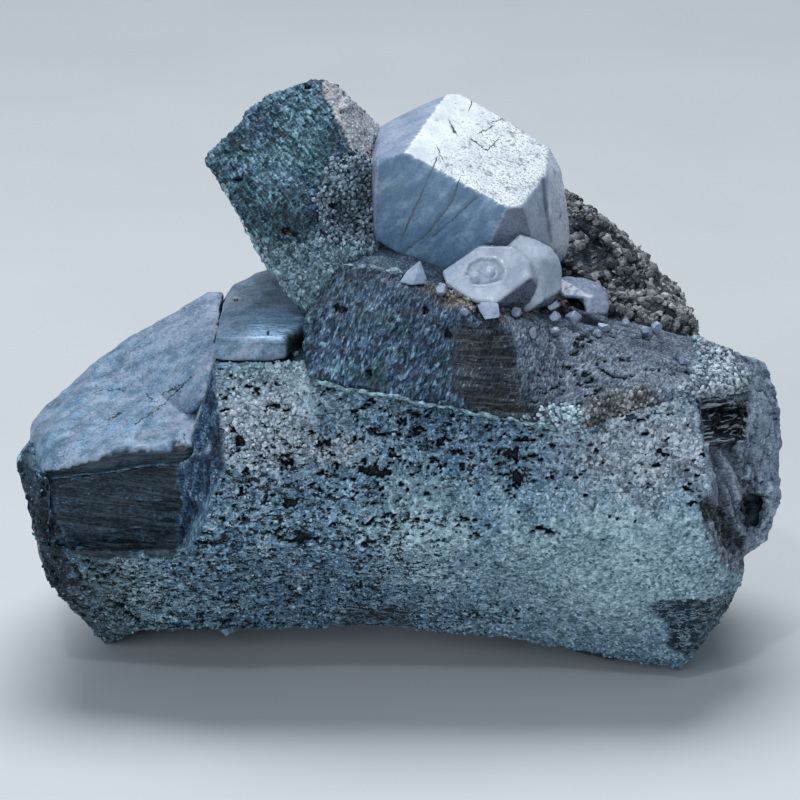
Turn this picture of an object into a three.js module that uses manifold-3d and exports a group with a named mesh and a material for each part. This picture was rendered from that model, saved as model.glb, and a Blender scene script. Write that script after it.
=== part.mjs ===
// Hydroxylapatite crystals on a rock of hornblende, in millimetres, +Z up.
// The rock stands on two feet, with an open arch between them.
// Each piece is a list of convex chunks, and each chunk is a list of its corners.

import Module from 'manifold-3d';
import * as THREE from 'three';
import { ConvexGeometry } from 'three/addons/geometries/ConvexGeometry.js';
import { mergeVertices } from 'three/addons/utils/BufferGeometryUtils.js';

const wasm = await Module();
wasm.setup();

// A corner that shows from the front is placed as it is seen from there:
// across and up in the picture plane, and back along the floor or away along the sight line.
const SIGHT_TILT = THREE.MathUtils.degToRad(20);
const SIGHT_DISTANCE = 600;
const SIGHT_HEIGHT = 34.1;
const TILT_COS = Math.cos(SIGHT_TILT);
const TILT_SIN = Math.sin(SIGHT_TILT);

// The origin is under the middle of the specimen, on the floor.
const TO_ORIGIN = new THREE.Vector3(-0.2, -2.2, 0);

// Pieces that touch keep this gap, so that none overlaps its neighbour.
const CONTACT_GAP = 0.42;
const MERGE_TOLERANCE = 0.001;

const APATITE_WHITE = { color: '#c9d4e2', roughness: 0.38, metalness: 0 };
const PLATE_BLUE = { color: '#a9bccb', roughness: 0.5, metalness: 0 };
const HORNBLENDE_TEAL = { color: '#3c5560', roughness: 0.6, metalness: 0 };
const HORNBLENDE_DARK = { color: '#2b313a', roughness: 0.55, metalness: 0 };
const CRUST_GREY = { color: '#7d8f92', roughness: 0.75, metalness: 0 };

// A corner given by how far across and up it looks, and how far away it is.
function sighted(across, up, away) {
  const reach = 1 + away / SIGHT_DISTANCE;
  return new THREE.Vector3(
    across * reach,
    away * TILT_COS + up * reach * TILT_SIN,
    SIGHT_HEIGHT + up * reach * TILT_COS - away * TILT_SIN,
  );
}

// The same corner, given by how far back it lies along the floor.
function seen(across, up, back) {
  const away = (back - up * TILT_SIN) / (TILT_COS + up * TILT_SIN / SIGHT_DISTANCE);
  return sighted(across, up, away);
}

// A hidden corner, given by its place.
function at(x, y, z) {
  return new THREE.Vector3(x, y, z);
}

function solidFrom(geometry) {
  const shell = geometry.clone();
  shell.deleteAttribute('normal');
  shell.deleteAttribute('uv');
  const merged = mergeVertices(shell, MERGE_TOLERANCE);
  return new wasm.Manifold(new wasm.Mesh({
    numProp: 3,
    vertProperties: Float32Array.from(merged.attributes.position.array),
    triVerts: Uint32Array.from(merged.index.array),
  }));
}

function hull(corners) {
  return solidFrom(new ConvexGeometry(corners));
}

function joined(chunks) {
  return chunks.map(hull).reduce((whole, part) => whole.add(part));
}

// The same chunks with every face moved out by about the contact gap.
function withGap(chunks) {
  const moves = [[1, 0, 0], [-1, 0, 0], [0, 1, 0], [0, -1, 0], [0, 0, 1], [0, 0, -1]];
  const grown = chunks.map((corners) => corners.flatMap((corner) => moves.map(
    ([x, y, z]) => corner.clone().add(new THREE.Vector3(x, y, z).multiplyScalar(CONTACT_GAP)),
  )));
  return joined(grown);
}

function largestBody(solid) {
  const bodies = solid.decompose();
  return bodies.reduce((best, body) => (body.volume() > best.volume() ? body : best));
}

// The big block. Its lower front faces down, its upper front faces up a little.

function mainBlockChunks() {
  const leftShoulder = [
    seen(-47.8, -7.6, -12), seen(-47.2, -10, -15), seen(-45.2, -17.5, -18), seen(-44.5, -10, -19.5),
    seen(-42.5, -17.5, -20.5), seen(-27.5, -16, -24.2), seen(-27.5, -19, -23.4), seen(-43.8, -22.9, -14),
    seen(-42.1, -23.8, -12), seen(-41.2, -25.6, -9), seen(-27.5, -28.2, -4.8), seen(-46, -5.2, -9),
    seen(-27.5, -9, -21.5), at(-45, 8, 28.6), at(-38, 22, 28), at(-40, 24, 18), at(-36, 20, 8),
    at(-27.5, 26, 33), at(-27.5, 27, 12), seen(-38.2, -28.4, -2), at(-27.5, 21, 4),
  ];
  const leftFoot = [
    seen(-32.4, -28.4, -4.2), seen(-29.2, -28.1, -4.7), seen(-14, -28.2, -4.2), at(-30.4, 12, 0),
    at(-33, 18, 0), at(-24, 20, 0), at(-22, 8, 2.6), seen(-28, -20, -20), seen(-14, -20, -18),
    at(-37, 20, 10), at(-22, 24, 10), at(-14, 20, 12), at(-14, 0, 8),
  ];
  const leftToe = [
    at(-37.8, 2.4, 0), at(-37.4, 8, 0), at(-33, 18, 0), at(-30.4, 12, 0), seen(-38.2, -28.4, -2),
    seen(-32.4, -28.4, -4.2), seen(-43.8, -22.9, -12), seen(-34, -22, -16), at(-37, 20, 10),
    at(-30, 14, 8),
  ];
  const leftBody = [
    seen(-27.5, -9, -21.5), seen(-27.5, -16, -24.2), seen(-27.5, -19, -23.4), seen(-27.5, -28.2, -4.8),
    seen(-22.2, -5, -21), seen(-22.2, -9, -22.3), seen(-3, -15, -24.2), seen(-3, -18, -23.4),
    seen(-3, -28.5, -2.6), seen(-3, -3, -20.7), at(-27.5, 26, 33), at(-27.5, 27, 12), at(-27.5, 21, 4),
    at(-3, 27, 36), at(-3, 29, 22), at(-3, 24, 12), at(-27.5, 16, 2.6), at(-3, 14, 9),
  ];
  const leftCrown = [
    seen(-23.1, 4.7, -18.3), seen(-22.2, -5, -21), seen(-22.2, -9, -22.3), seen(-26.5, -6.4, -17.8),
    seen(-3, 4.7, -18.3), seen(-3, -3, -20.7), at(-3, 20, 44.6), at(-21.5, 16, 43), at(-23, 4, 40),
    at(-22.4, 22, 39), at(-3, 27, 36), at(-25.5, 20, 30), at(-25.5, -4, 30), seen(-3, -12, -22.4),
  ];
  const middleBody = [
    seen(-3, 4.7, -18.3), seen(-3, -3, -20.7), seen(-3, -15, -24.2), seen(-3, -18, -23.4),
    seen(-3, -28.5, -2.6), seen(17, 1.5, -19.4), seen(17, -15, -24.6), seen(17, -18, -24.2),
    seen(17, -29.6, -8.4), at(-3, 20, 44.6), at(-3, 27, 36), at(-3, 29, 22), at(-3, 24, 12),
    at(17, 21, 43.6), at(17, 27, 34), at(17, 28, 20), at(17, 23, 6), at(17, 6, 3), at(-3, 14, 9),
  ];
  const rightBody = [
    seen(17, 1.5, -19.4), seen(17, -15, -24.6), seen(17, -18, -24.2), seen(17, -29.6, -8.4),
    seen(30, 0.8, -19.3), seen(36.6, 1, -18.5), seen(37.2, -3, -20.2), seen(38.6, -8.8, -22),
    seen(37.5, -15, -24), seen(38.1, -17.5, -23.2), seen(41, -19.9, -17.5), seen(41.4, -22.5, -15.6),
    seen(40.8, -24.8, -14), seen(37.8, -27.6, -10.6), seen(35.4, -32.4, -10.7), at(17, 21, 43.6),
    at(17, 27, 34), at(17, 28, 20), at(17, 23, 6), at(36, 14, 37), at(37, 21, 30), at(37, 22, 14),
  ];
  const rightFoot = [
    seen(17, -29.6, -8.4), seen(35.4, -32.4, -10.7), seen(35.1, -33.4, -6.4), at(35.5, -5, 0),
    at(33, -2, 0), at(30, 17, 0), at(17, 20, 0), at(13, 10, 1.4), seen(11, -29, -6), at(11, 18, 8),
    seen(37.8, -27.8, -9), seen(36.2, -30.4, -8), at(33, 22, 10), at(38, 6, 9), seen(38, -22, -14),
    seen(11, -22, -16),
  ];
  const brokenEnd = [
    seen(37.5, 0, -15.5), seen(43.8, 0.6, -9), seen(42, 5.5, -4), seen(38, 6.2, -4.5),
    seen(45.6, 4.2, -2), seen(47.1, 0.6, -4), seen(47.8, -2, -6), seen(47.3, -4, -7),
    seen(47.5, -7, -8), seen(47.2, -12.3, -10), seen(46.2, -15, -10), seen(45.7, -17.4, -10),
    seen(42.8, -19.8, -12.6), seen(37.5, -18, -19.5), at(44, 13, 33.4), at(43, 18, 22), at(40, 14, 12),
    at(36, 16, 36), at(36, 20, 12), seen(36, -4, -18),
  ];
  const lowerRight = [
    seen(42.8, -19.8, -12.6), seen(43, -21.4, -12.6), seen(42.8, -22.4, -12.8), seen(41.6, -24, -12),
    seen(41, -25.9, -11), seen(39, -26.9, -10.4), seen(37.9, -27.8, -10), seen(36.9, -30, -8.4),
    seen(36.2, -31.4, -7.4), seen(35.6, -32.8, -9.6), seen(36, -22, -18), at(40, 14, 14),
    at(34, 16, 4), at(33, -2, 1.4), at(36, 18, 18), seen(37, -17, -19),
  ];
  return [
    leftShoulder, leftFoot, leftToe, leftBody, leftCrown, middleBody, rightBody, rightFoot, brokenEnd,
    lowerRight,
  ];
}

// The step at the left, where the front is set back to a dark striated wall.
function leftRecess() {
  return hull([
    seen(-44, -4.5, -18.2), seen(-27.7, -4.5, -18.2), seen(-44, -18.5, -17.4), seen(-27.7, -18.5, -17.4),
    seen(-45.6, -4, -32), seen(-20, -4, -32), seen(-45.6, -20.4, -32), seen(-24, -20.4, -32),
    seen(-22.4, -9, -22.4), seen(-26, -17, -23.4),
  ]);
}

// The hollow under the rock, open from front to back, with a ceiling that rises to the rear.
function arch() {
  return hull([
    seen(-13.4, -28.4, -3), seen(9, -29, -5.4), seen(-10, -28.6, -2.8), seen(4, -28.8, -3.4),
    at(-15, 16, 10.5), at(11, 16, 10.5), at(-10, 16, 12.4), at(6, 16, 12.4),
    at(-16, 34, 15), at(12, 34, 15), at(-14.5, -14, -3), at(10, -14, -3), at(-18, 34, -3), at(14, 34, -3),
  ]);
}

// A dark pocket in the broken right end, and a smaller one below it.
function endPockets() {
  const upper = hull([
    seen(38, -0.4, -20), seen(43.6, -0.2, -20), seen(43.4, -5.6, -20), seen(38.6, -4, -24),
    seen(38.6, -0.8, -12.4), seen(43.2, -0.8, -8.2), seen(43, -5, -9), seen(39, -4.4, -14),
  ]);
  const lower = hull([
    seen(42.8, -11.4, -22), seen(45.8, -11.8, -22), seen(45.4, -16.8, -22), seen(43.2, -16, -22),
    seen(43.2, -12, -9.2), seen(45, -12.4, -8), seen(44.8, -16, -8.6), seen(43.6, -15.4, -10),
  ]);
  return upper.add(lower);
}

// The pale plates on the left part of the block.

function plateLeftChunks() {
  const front = [
    seen(-26.1, -6.1, -18.6), seen(-35.2, -6.2, -19), seen(-36.2, -7.1, -19.2), seen(-40, -7.8, -19.4),
    seen(-44.4, -8.9, -19.4), seen(-44, -5.6, -15), seen(-45.4, -4.8, -10), seen(-45.9, -3.2, -6),
    seen(-44.8, -1.4, -3), seen(-40.6, 1.4, 1), seen(-25, -2.2, -12), seen(-25, 0.2, -8),
    seen(-36.9, 5.4, 4), seen(-27, 3, -4), seen(-26.1, -7.4, -18), seen(-44.2, -9.7, -17.6),
    at(-45.4, -8, 30.4), at(-42, 4, 31.4), at(-26.4, 4, 36.4), at(-38, 9, 34),
  ];
  const rear = [
    seen(-36.9, 5.4, 4), seen(-34.4, 7.1, 5.4), seen(-31.4, 8.8, 6), seen(-30, 8.8, 6.4),
    seen(-28.2, 10.3, 7.4), seen(-25, 11.9, 8.6), seen(-23.4, 13.2, 9), seen(-22.3, 13.2, 9),
    seen(-22.3, 10, 2), seen(-22.8, 7, -6), seen(-23.5, 3.2, -12), seen(-27, -2, -12),
    seen(-34, 0, -4), at(-26.4, 4, 36.4), at(-23.4, 14, 42.5), at(-34, 14, 37), at(-27, 18, 39),
    seen(-24.4, 0.1, -14),
  ];
  return [front, rear];
}

function plateRightChunks() {
  return [[
    seen(-23.1, 5.2, -18.2), seen(-14.4, 5.1, -18.2), seen(-22.7, 7.6, -17.6), seen(-14.6, 7.6, -17.6),
    seen(-21.7, 12.4, -2), seen(-20.8, 14.1, 1), seen(-18.2, 14.6, 2), seen(-17.2, 15.6, 4),
    seen(-15.6, 16, 4.6), seen(-13.6, 14, 0), seen(-12, 12.4, -6), seen(-11.8, 10, -12),
    seen(-13.8, 8, -16.4), at(-12, 10, 50), at(-21, 11, 44.6), at(-12, 12, 46), at(-22, 0, 44.4),
    at(-12, -12, 46.2),
  ]];
}

// The leaning crystal at the upper left, with a crusted foot.

function upperCrystalChunks() {
  const shaft = [
    seen(-24.3, 29.9, -9.4), seen(-23.6, 31, -8.8), seen(-21, 33, -7.6), seen(-18.6, 34.8, -6.6),
    seen(-16.5, 38.2, -4.2), seen(-13, 39, -3.4), seen(-11, 39.9, -3), seen(-9.4, 39.8, -2.6),
    seen(-6.9, 33.8, -6.4), seen(-6, 31.3, -7.6), seen(-6.8, 29, -9), seen(-9.8, 25.4, -11),
    seen(-12.6, 20, -12.6), seen(-17.9, 19.6, -12.4), seen(-21, 25, -11), seen(-8, 39.2, -0.5),
    seen(-6.3, 37.1, 1), seen(-4.4, 35, 2), seen(-2.4, 33.9, 3), seen(-2.6, 29, -3),
    seen(-3, 25, -5), seen(-3.2, 19.6, -6.4), at(-16, 10, 66), at(-8, 12, 68), at(-1, 9, 62),
    at(-12, 8, 55), at(-3, 6, 55), at(-20, 4, 63),
  ];
  const spur = [
    seen(-19, 33.6, -6.6), seen(-19.6, 35.2, -4.6), seen(-19.5, 35.9, -4), seen(-17.4, 37.4, -2.6),
    seen(-15, 38, -1), seen(-14, 34, -4), seen(-17, 31, -6), at(-14, 8, 66), at(-15, 4, 60),
  ];
  const foot = [
    seen(-18.4, 20.2, -12.2), seen(-17, 17.9, -12.8), seen(-15.7, 16.1, -13.4), seen(-14, 14.2, -14.2),
    seen(-12.6, 12.2, -15), seen(-11.8, 11, -15.4), seen(-10.9, 12.4, -15.2), seen(-9.4, 15, -14.8),
    seen(-7.6, 16.9, -14), seen(-5.8, 17.9, -12.4), seen(-3, 18.8, -8), seen(-3.2, 20.4, -7),
    seen(-9.2, 22, -12.4), seen(-12.4, 21, -12.8), at(-14, 6, 52), at(-4, 6, 55), at(-8, 6, 62),
    at(-14, 5, 60),
  ];
  return [shaft, spur, foot];
}

// The fibrous block across the middle, with its lamellar end and the terrace to its right.

function middleBlockChunks() {
  const fibrous = [
    seen(-7.5, 17, -14), seen(0, 16, -15), seen(4.6, 14.3, -17), seen(9.6, 10.4, -20),
    seen(5.6, -0.8, -22.8), seen(0, 0.3, -22.2), seen(-11.2, 2.7, -20.2), seen(-11.9, 5, -19),
    seen(-11.8, 10, -17), seen(-10, 13, -15.6), at(-8, 8, 56.6), at(6, 9, 54.6), at(-10, 9, 44),
    at(10, 9, 52), at(10, 9, 42),
  ];
  const lamellar = [
    seen(9.6, 10.4, -20), seen(14, 9.9, -17.4), seen(20, 9.3, -14), seen(22, 6, -15.4),
    seen(20.4, -3.5, -21.8), seen(16, -2.7, -22.4), seen(12.4, -2.2, -22.8), seen(5.6, -0.8, -22.8),
    seen(9.8, 6, -21.2), at(4, 9, 54), at(22, 9, 45.6), at(22, 8, 38), at(6, 9, 42), seen(4.6, 14.3, -17),
  ];
  const terrace = [
    seen(20, 9.3, -14), seen(30, 6.9, -12), seen(37.4, 6.6, -8), seen(42, 5.6, -5), seen(43.4, 2.4, -9),
    seen(37.5, 1.4, -18.4), seen(30, 1, -20.6), seen(24, -1.6, -21.8), seen(20.4, -3.5, -21.8),
    at(40, 6, 38.4), at(38, 8, 36), at(22, 9, 45.6), at(22, 8, 38), seen(26, 7.2, -13.4),
    seen(43.4, 1.4, -9.4),
  ];
  return [fibrous, lamellar, terrace];
}

function backBlockChunks() {
  return [[
    seen(20.6, 24.6, 8), seen(23.1, 24.1, 10), seen(25, 22.2, 9), seen(26.5, 20.6, 8),
    seen(28.8, 17.8, 7), seen(30, 16, 6.4), seen(32.5, 13.8, 5), seen(33.5, 12.5, 4.4),
    seen(35, 10, 3), seen(37.8, 7.2, 1.6), seen(21, 17.2, 0), seen(25.4, 12, -3), seen(30, 8.8, -4),
    seen(37, 6.8, -2.6), at(13, 22, 46), at(24, 25, 44), at(36, 18, 41), at(6, 16, 54), at(9, 20, 57),
    at(14, 14, 59), at(10, 4, 50), at(30, 22, 46), at(20, 8, 45),
  ]];
}

// The large hexagonal prism, leaning back and to the right.

function largeCrystalChunks() {
  const prism = [
    sighted(4.6, 15.6, -15.2), sighted(13.2, 24, -22.4), sighted(15, 24.1, -21), sighted(0.6, 30.9, -21.9),
    sighted(-3, 20, -14.9), sighted(-3.2, 26.2, -18), sighted(-2.8, 29.4, -19.8), sighted(11.2, 19.6, -19.5),
    sighted(5, 37.7, -8.9), sighted(6.3, 38.2, -7.4), sighted(7.5, 38.3, -6.3), sighted(12.5, 35.5, -6.6),
    sighted(18.6, 31.6, -7.6), sighted(1.4, 36, -7.1), sighted(-2.5, 34.1, -9), sighted(-3.8, 31, -11),
    sighted(-3.8, 24, -10), sighted(15.6, 26.4, -6.8), sighted(9, 22.4, -2.5), sighted(1.4, 26.8, -2.2),
    sighted(1.9, 17.2, -14.6), sighted(5, 18, -9),
  ];
  const slab = [
    sighted(13.2, 24, -22.4), sighted(11.2, 19.6, -19.5),
    sighted(15, 24.1, -21), sighted(17.6, 27.6, -14.2), sighted(18.6, 31.6, -7.6), sighted(19.1, 30.4, -8),
    sighted(20, 28.9, -8.6), sighted(20.4, 26.9, -9), sighted(20.8, 24.4, -9.5), sighted(21.1, 21.4, -10),
    sighted(21.1, 19.4, -10), sighted(20.7, 18, -9.6), sighted(20.1, 17.2, -9), sighted(18.5, 19.4, -13.4),
    sighted(16.2, 20.4, -18.4), sighted(15.6, 28, -4), sighted(18.2, 20, -3), sighted(15, 18.6, -8),
    sighted(13, 18.6, -14),
  ];
  return [prism, slab];
}

// The groove between the prism and the pitted slab at its right.
function crystalGroove() {
  return hull([
    sighted(17.5, 27.9, -14.8), sighted(18.1, 27.7, -14.6), sighted(18.3, 20, -14.8),
    sighted(18.9, 20, -14.6), sighted(17.9, 27.4, -12.9), sighted(18.7, 20.2, -12.6),
    sighted(17.3, 27.9, -20), sighted(18.7, 28, -20), sighted(18.1, 20, -20), sighted(19.5, 20, -20),
  ]);
}

function twinCrystalsChunks() {
  const front = [
    sighted(5.4, 16, -20.5), sighted(10, 19.2, -20.8), sighted(14, 19.1, -21.2), sighted(16, 17.2, -21.6),
    sighted(16.2, 15.4, -22), sighted(11.9, 12.1, -23), sighted(8.8, 12.5, -22.8), sighted(5.9, 14.4, -21.8),
    sighted(12.5, 11.2, -20), sighted(18, 12.4, -17), sighted(18.4, 15.4, -17.4), sighted(15, 18.6, -16),
    sighted(8.8, 17.2, -16), sighted(6.4, 14.2, -17),
  ];
  const rear = [
    sighted(13.4, 19.1, -20.4), sighted(15, 20.6, -19.8), sighted(16.9, 20, -19.2),
    sighted(18.8, 19, -18.6), sighted(17.6, 17.4, -20.8), sighted(19.7, 17.8, -18.2),
    sighted(20.1, 16.4, -18), sighted(20.1, 13.8, -18), sighted(18.8, 12.2, -18.2),
    sighted(15.6, 10.9, -18), sighted(17, 16, -20.6), sighted(18, 12.6, -19.4), sighted(14, 12, -14),
    sighted(19, 13, -14), sighted(19, 17, -14.4), sighted(15, 18.6, -15),
  ];
  return [front, rear];
}

// The ring hollow in the front face of the twins, around a small ball of crystal.
function twinHollow() {
  const ring = new THREE.TorusGeometry(0.82, 0.24, 6, 14);
  ring.scale(1.1, 0.85, 1);
  ring.rotateX(Math.PI / 2 - SIGHT_TILT - THREE.MathUtils.degToRad(16));
  const centre = sighted(11, 15.8, -21.9);
  ring.translate(centre.x, centre.y, centre.z);
  return solidFrom(ring);
}

function sideCrystalChunks() {
  const beam = [
    sighted(19.9, 15.2, -13), sighted(21, 15.4, -12.4), sighted(23.1, 15.1, -12), sighted(25, 14.4, -12.4),
    sighted(25.9, 13.1, -13), sighted(24, 12.6, -15), sighted(20.4, 12.9, -14.8), sighted(19.6, 13.4, -14),
    sighted(20.2, 14.2, -9.6), sighted(25, 13.2, -9.6),
  ];
  const leg = [
    sighted(25.9, 13.1, -13), sighted(24, 12.8, -15), sighted(23, 12.8, -14.6), sighted(23.4, 10.8, -15.6),
    sighted(25.8, 10.8, -15), sighted(26, 11.6, -14.4), sighted(24.6, 14.4, -12.4), sighted(25.4, 11.6, -10),
    sighted(23.2, 12, -10.6),
  ];
  return [beam, leg];
}

function chipChunks() {
  return [[
    seen(0, 14.7, -16.4), seen(1, 16.2, -16), seen(2.5, 17.4, -15.6), seen(3, 15.7, -16),
    seen(3.5, 14.6, -16.8), seen(1.6, 14.4, -17.2), seen(2.8, 14.9, -14.2), seen(0.6, 15, -14.4),
  ]];
}

function smallBlockChunks() {
  return [[
    seen(9.1, 12.1, -19.2), seen(12.2, 12, -18.4), seen(12.4, 10.4, -19.6), seen(9.8, 10.1, -20.6),
    seen(9, 11.2, -20.2), seen(9.4, 12.2, -17), seen(12.2, 12.2, -16.4), seen(12.3, 10.8, -17),
    seen(9.6, 10.6, -18),
  ]];
}

// Across, up, back and radius of each granule on the ledge and the terrace.
const GRANULES = [
  [5.4, 13.7, -18.2, 0.85],
  [8.1, 11, -19.9, 0.6],
  [14.6, 10.9, -16.3, 0.7],
  [19.2, 12.1, -12.6, 0.95],
  [19.4, 10.5, -14.3, 0.75],
  [21.6, 10.3, -13.4, 1.05],
  [16.6, 8.4, -17.4, 0.7],
  [19.5, 8.5, -15.6, 0.65],
  [25.6, 9.3, -11.6, 0.85],
  [24.6, 8.3, -13.6, 0.65],
  [28.1, 9.6, -9.2, 0.7],
  [30.7, 8.4, -10, 0.85],
  [32.2, 9, -7, 0.85],
  [35.4, 4.8, -12.9, 0.7],
];
const GRANULE_SIDES = 6;

// A blunt little crystal: two six-sided rings and two tips, each granule turned its own way.
function granuleCorners([across, up, back, radius], index) {
  const centre = seen(across, up, back);
  const turn = new THREE.Euler(index * 1.3, index * 0.7, index * 2.1);
  const corners = [];
  for (let side = 0; side < GRANULE_SIDES; side += 1) {
    const angle = (side / GRANULE_SIDES) * Math.PI * 2;
    corners.push(at(Math.cos(angle), Math.sin(angle) * 0.9, 0.45));
    corners.push(at(Math.cos(angle) * 0.9, Math.sin(angle), -0.5));
  }
  corners.push(at(0.1, 0, 0.95), at(0, 0.1, -0.95));
  return corners.map((corner) => corner.applyEuler(turn).multiplyScalar(radius).add(centre));
}

const group = new THREE.Group();

function addPiece(name, solid, look) {
  const body = largestBody(solid);
  const { vertProperties, triVerts } = body.getMesh();
  const geometry = new THREE.BufferGeometry();
  geometry.setAttribute('position', new THREE.BufferAttribute(Float32Array.from(vertProperties), 3));
  geometry.setIndex(new THREE.BufferAttribute(Uint32Array.from(triVerts), 1));
  geometry.computeVertexNormals();
  const mesh = new THREE.Mesh(geometry, new THREE.MeshStandardMaterial(look));
  mesh.name = name;
  mesh.position.copy(TO_ORIGIN);
  group.add(mesh);
}

const twins = twinCrystalsChunks();
const large = largeCrystalChunks();
const side = sideCrystalChunks();
const chip = chipChunks();
const smallBlock = smallBlockChunks();
const granules = GRANULES.map((row, index) => [granuleCorners(row, index)]);
const upper = upperCrystalChunks();
const middle = middleBlockChunks();
const plateLeft = plateLeftChunks();
const plateRight = plateRightChunks();
const back = backBlockChunks();
const main = mainBlockChunks();

const apatites = [...twins, ...large, ...side, ...chip, ...smallBlock, ...granules.flat()];

addPiece('hydroxylapatite_twin_crystals', joined(twins).subtract(twinHollow()), APATITE_WHITE);
addPiece(
  'hydroxylapatite_large_crystal',
  joined(large).subtract(crystalGroove()).subtract(withGap(twins)),
  APATITE_WHITE,
);
addPiece('hydroxylapatite_side_crystal', joined(side).subtract(withGap([...twins, ...large])), APATITE_WHITE);
addPiece('hydroxylapatite_chip', joined(chip).subtract(withGap([...twins, ...large])), APATITE_WHITE);
addPiece('hydroxylapatite_small_block', joined(smallBlock).subtract(withGap(twins)), APATITE_WHITE);
granules.forEach((granule, index) => {
  const others = [...twins, ...side, ...smallBlock, ...granules.slice(0, index).flat()];
  const name = `hydroxylapatite_granule_${String(index + 1).padStart(2, '0')}`;
  addPiece(name, joined(granule).subtract(withGap(others)), APATITE_WHITE);
});
addPiece('hornblende_upper_crystal', joined(upper).subtract(withGap(apatites)), HORNBLENDE_TEAL);
addPiece(
  'hornblende_middle_block',
  joined(middle).subtract(withGap([...apatites, ...upper])),
  HORNBLENDE_DARK,
);
addPiece('pale_plate_right', joined(plateRight).subtract(withGap([...upper, ...middle])), PLATE_BLUE);
addPiece('pale_plate_left', joined(plateLeft).subtract(withGap([...plateRight, ...upper])), PLATE_BLUE);
addPiece(
  'hornblende_back_block',
  joined(back).subtract(withGap([...apatites, ...middle, ...upper])),
  HORNBLENDE_DARK,
);
addPiece(
  'hornblende_main_block',
  joined(main)
    .subtract(leftRecess())
    .subtract(arch())
    .subtract(endPockets())
    .subtract(withGap([...middle, ...plateRight, ...plateLeft, ...back, ...upper, ...apatites])),
  CRUST_GREY,
);

export default group;
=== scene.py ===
import itertools
import math
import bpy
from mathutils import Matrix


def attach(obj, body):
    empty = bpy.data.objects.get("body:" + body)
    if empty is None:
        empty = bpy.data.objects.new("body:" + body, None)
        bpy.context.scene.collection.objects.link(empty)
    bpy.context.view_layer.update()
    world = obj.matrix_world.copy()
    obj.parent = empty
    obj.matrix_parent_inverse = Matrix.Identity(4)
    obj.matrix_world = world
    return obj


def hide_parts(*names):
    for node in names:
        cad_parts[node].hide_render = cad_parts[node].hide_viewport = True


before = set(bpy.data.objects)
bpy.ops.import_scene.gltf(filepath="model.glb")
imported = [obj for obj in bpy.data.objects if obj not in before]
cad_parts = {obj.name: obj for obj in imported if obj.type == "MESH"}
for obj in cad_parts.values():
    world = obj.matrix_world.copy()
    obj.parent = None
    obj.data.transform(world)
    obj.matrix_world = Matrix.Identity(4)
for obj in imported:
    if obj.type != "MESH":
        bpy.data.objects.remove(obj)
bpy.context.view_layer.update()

from types import SimpleNamespace

import bpy
import numpy as np
from mathutils import Matrix, Vector

# Shapes are worked out in millimetres in the row frame, and written to meshes in metres.
MM = 0.001

# The sight frame says how a place looks from the front: across and up in the view, in millimetres.
SIGHT_TILT = math.radians(20)
SIGHT_DISTANCE = 600
SIGHT_HEIGHT = 34.1
TILT_COS = math.cos(SIGHT_TILT)
TILT_SIN = math.sin(SIGHT_TILT)
TO_ORIGIN = np.array((-0.2, -2.2, 0.0))
TOWARDS = np.array((0, -TILT_COS, TILT_SIN))
SENSOR_WIDTH = 36
VIEW_WIDTH = 100

# How fine each piece is, and how far it grows to close the seams between pieces.
FRONT_VOXEL = 0.305
REST_VOXEL = 0.8
MIDDLE_VOXEL = 0.33
BACK_VOXEL = 0.5
UPPER_VOXEL = 0.3
PLATE_VOXEL = 0.34
LARGE_VOXEL = 0.28
TWIN_VOXEL = 0.17
SMALL_VOXEL = 0.1
SEAM = 0.16
SMALL_SEAM = 0.08
GRANULE_SEAM = 0.06


def sighted(across, up, away):
    """The place that looks this far across and up, this far away."""
    reach = 1 + away / SIGHT_DISTANCE
    depth = away * TILT_COS + up * reach * TILT_SIN
    height = SIGHT_HEIGHT + up * reach * TILT_COS - away * TILT_SIN
    return np.array((across * reach, depth, height)) + TO_ORIGIN


def seen(across, up, back):
    """The same, given by how far back the place lies along the floor."""
    away = (back - up * TILT_SIN) / (TILT_COS + up * TILT_SIN / SIGHT_DISTANCE)
    return sighted(across, up, away)


def looks(places):
    """The view of some places: how far across each one looks from the front, and how far up."""
    x, y, z = (places - TO_ORIGIN).T
    z = z - SIGHT_HEIGHT
    reach = 1 + (y * TILT_COS - z * TILT_SIN) / SIGHT_DISTANCE
    return x / reach, (y * TILT_SIN + z * TILT_COS) / reach


def unit(vectors):
    """A vector, or each row of a table of them, at length 1."""
    vectors = np.asarray(vectors, float)
    return vectors / np.maximum(np.linalg.norm(vectors, axis=-1, keepdims=True), 1e-9)


def clamp(values):
    return np.clip(values, 0, 1)


def fade(values, low, high):
    """0 below low, 1 above high, and smooth between them."""
    t = clamp((values - low) / (high - low))
    return t * t * (3 - 2 * t)


# Noise.

HASH_STEPS = ((15, 0x2C1B3C6D), (12, 0x297A2D39), (15, 1))
HASH_AXES = (0x8DA6B343, 0xD8163841, 0xCB1AB31F)
HASH_SEED = 0x9E3779B1
HASH_RANGE = 2**32
TWIST = np.array(Matrix.Rotation(0.9, 3, Vector((0.3, 0.8, 0.5))))
NOISE_REACH = 1.6


def hashed(cells, seed):
    """A number from 0 to 1 for each whole-number cell."""
    total = np.full(len(cells), seed * HASH_SEED % HASH_RANGE, np.uint32)
    for axis, factor in enumerate(HASH_AXES):
        total ^= cells[:, axis].astype(np.int64).astype(np.uint32) * np.uint32(factor)
    for shift, factor in HASH_STEPS:
        total = (total ^ (total >> np.uint32(shift))) * np.uint32(factor)
    return total / HASH_RANGE


def waves(places, size, seed):
    """Smooth noise from -1 to 1, with swells of about this size."""
    scaled = places / size
    base = np.floor(scaled)
    part = scaled - base
    part = part * part * (3 - 2 * part)
    total = np.zeros(len(scaled))
    for corner in itertools.product((0, 1), repeat=3):
        weight = np.prod(np.where(corner, part, 1 - part), axis=1)
        total += weight * hashed(base + corner, seed)
    return total * 2 - 1


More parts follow.
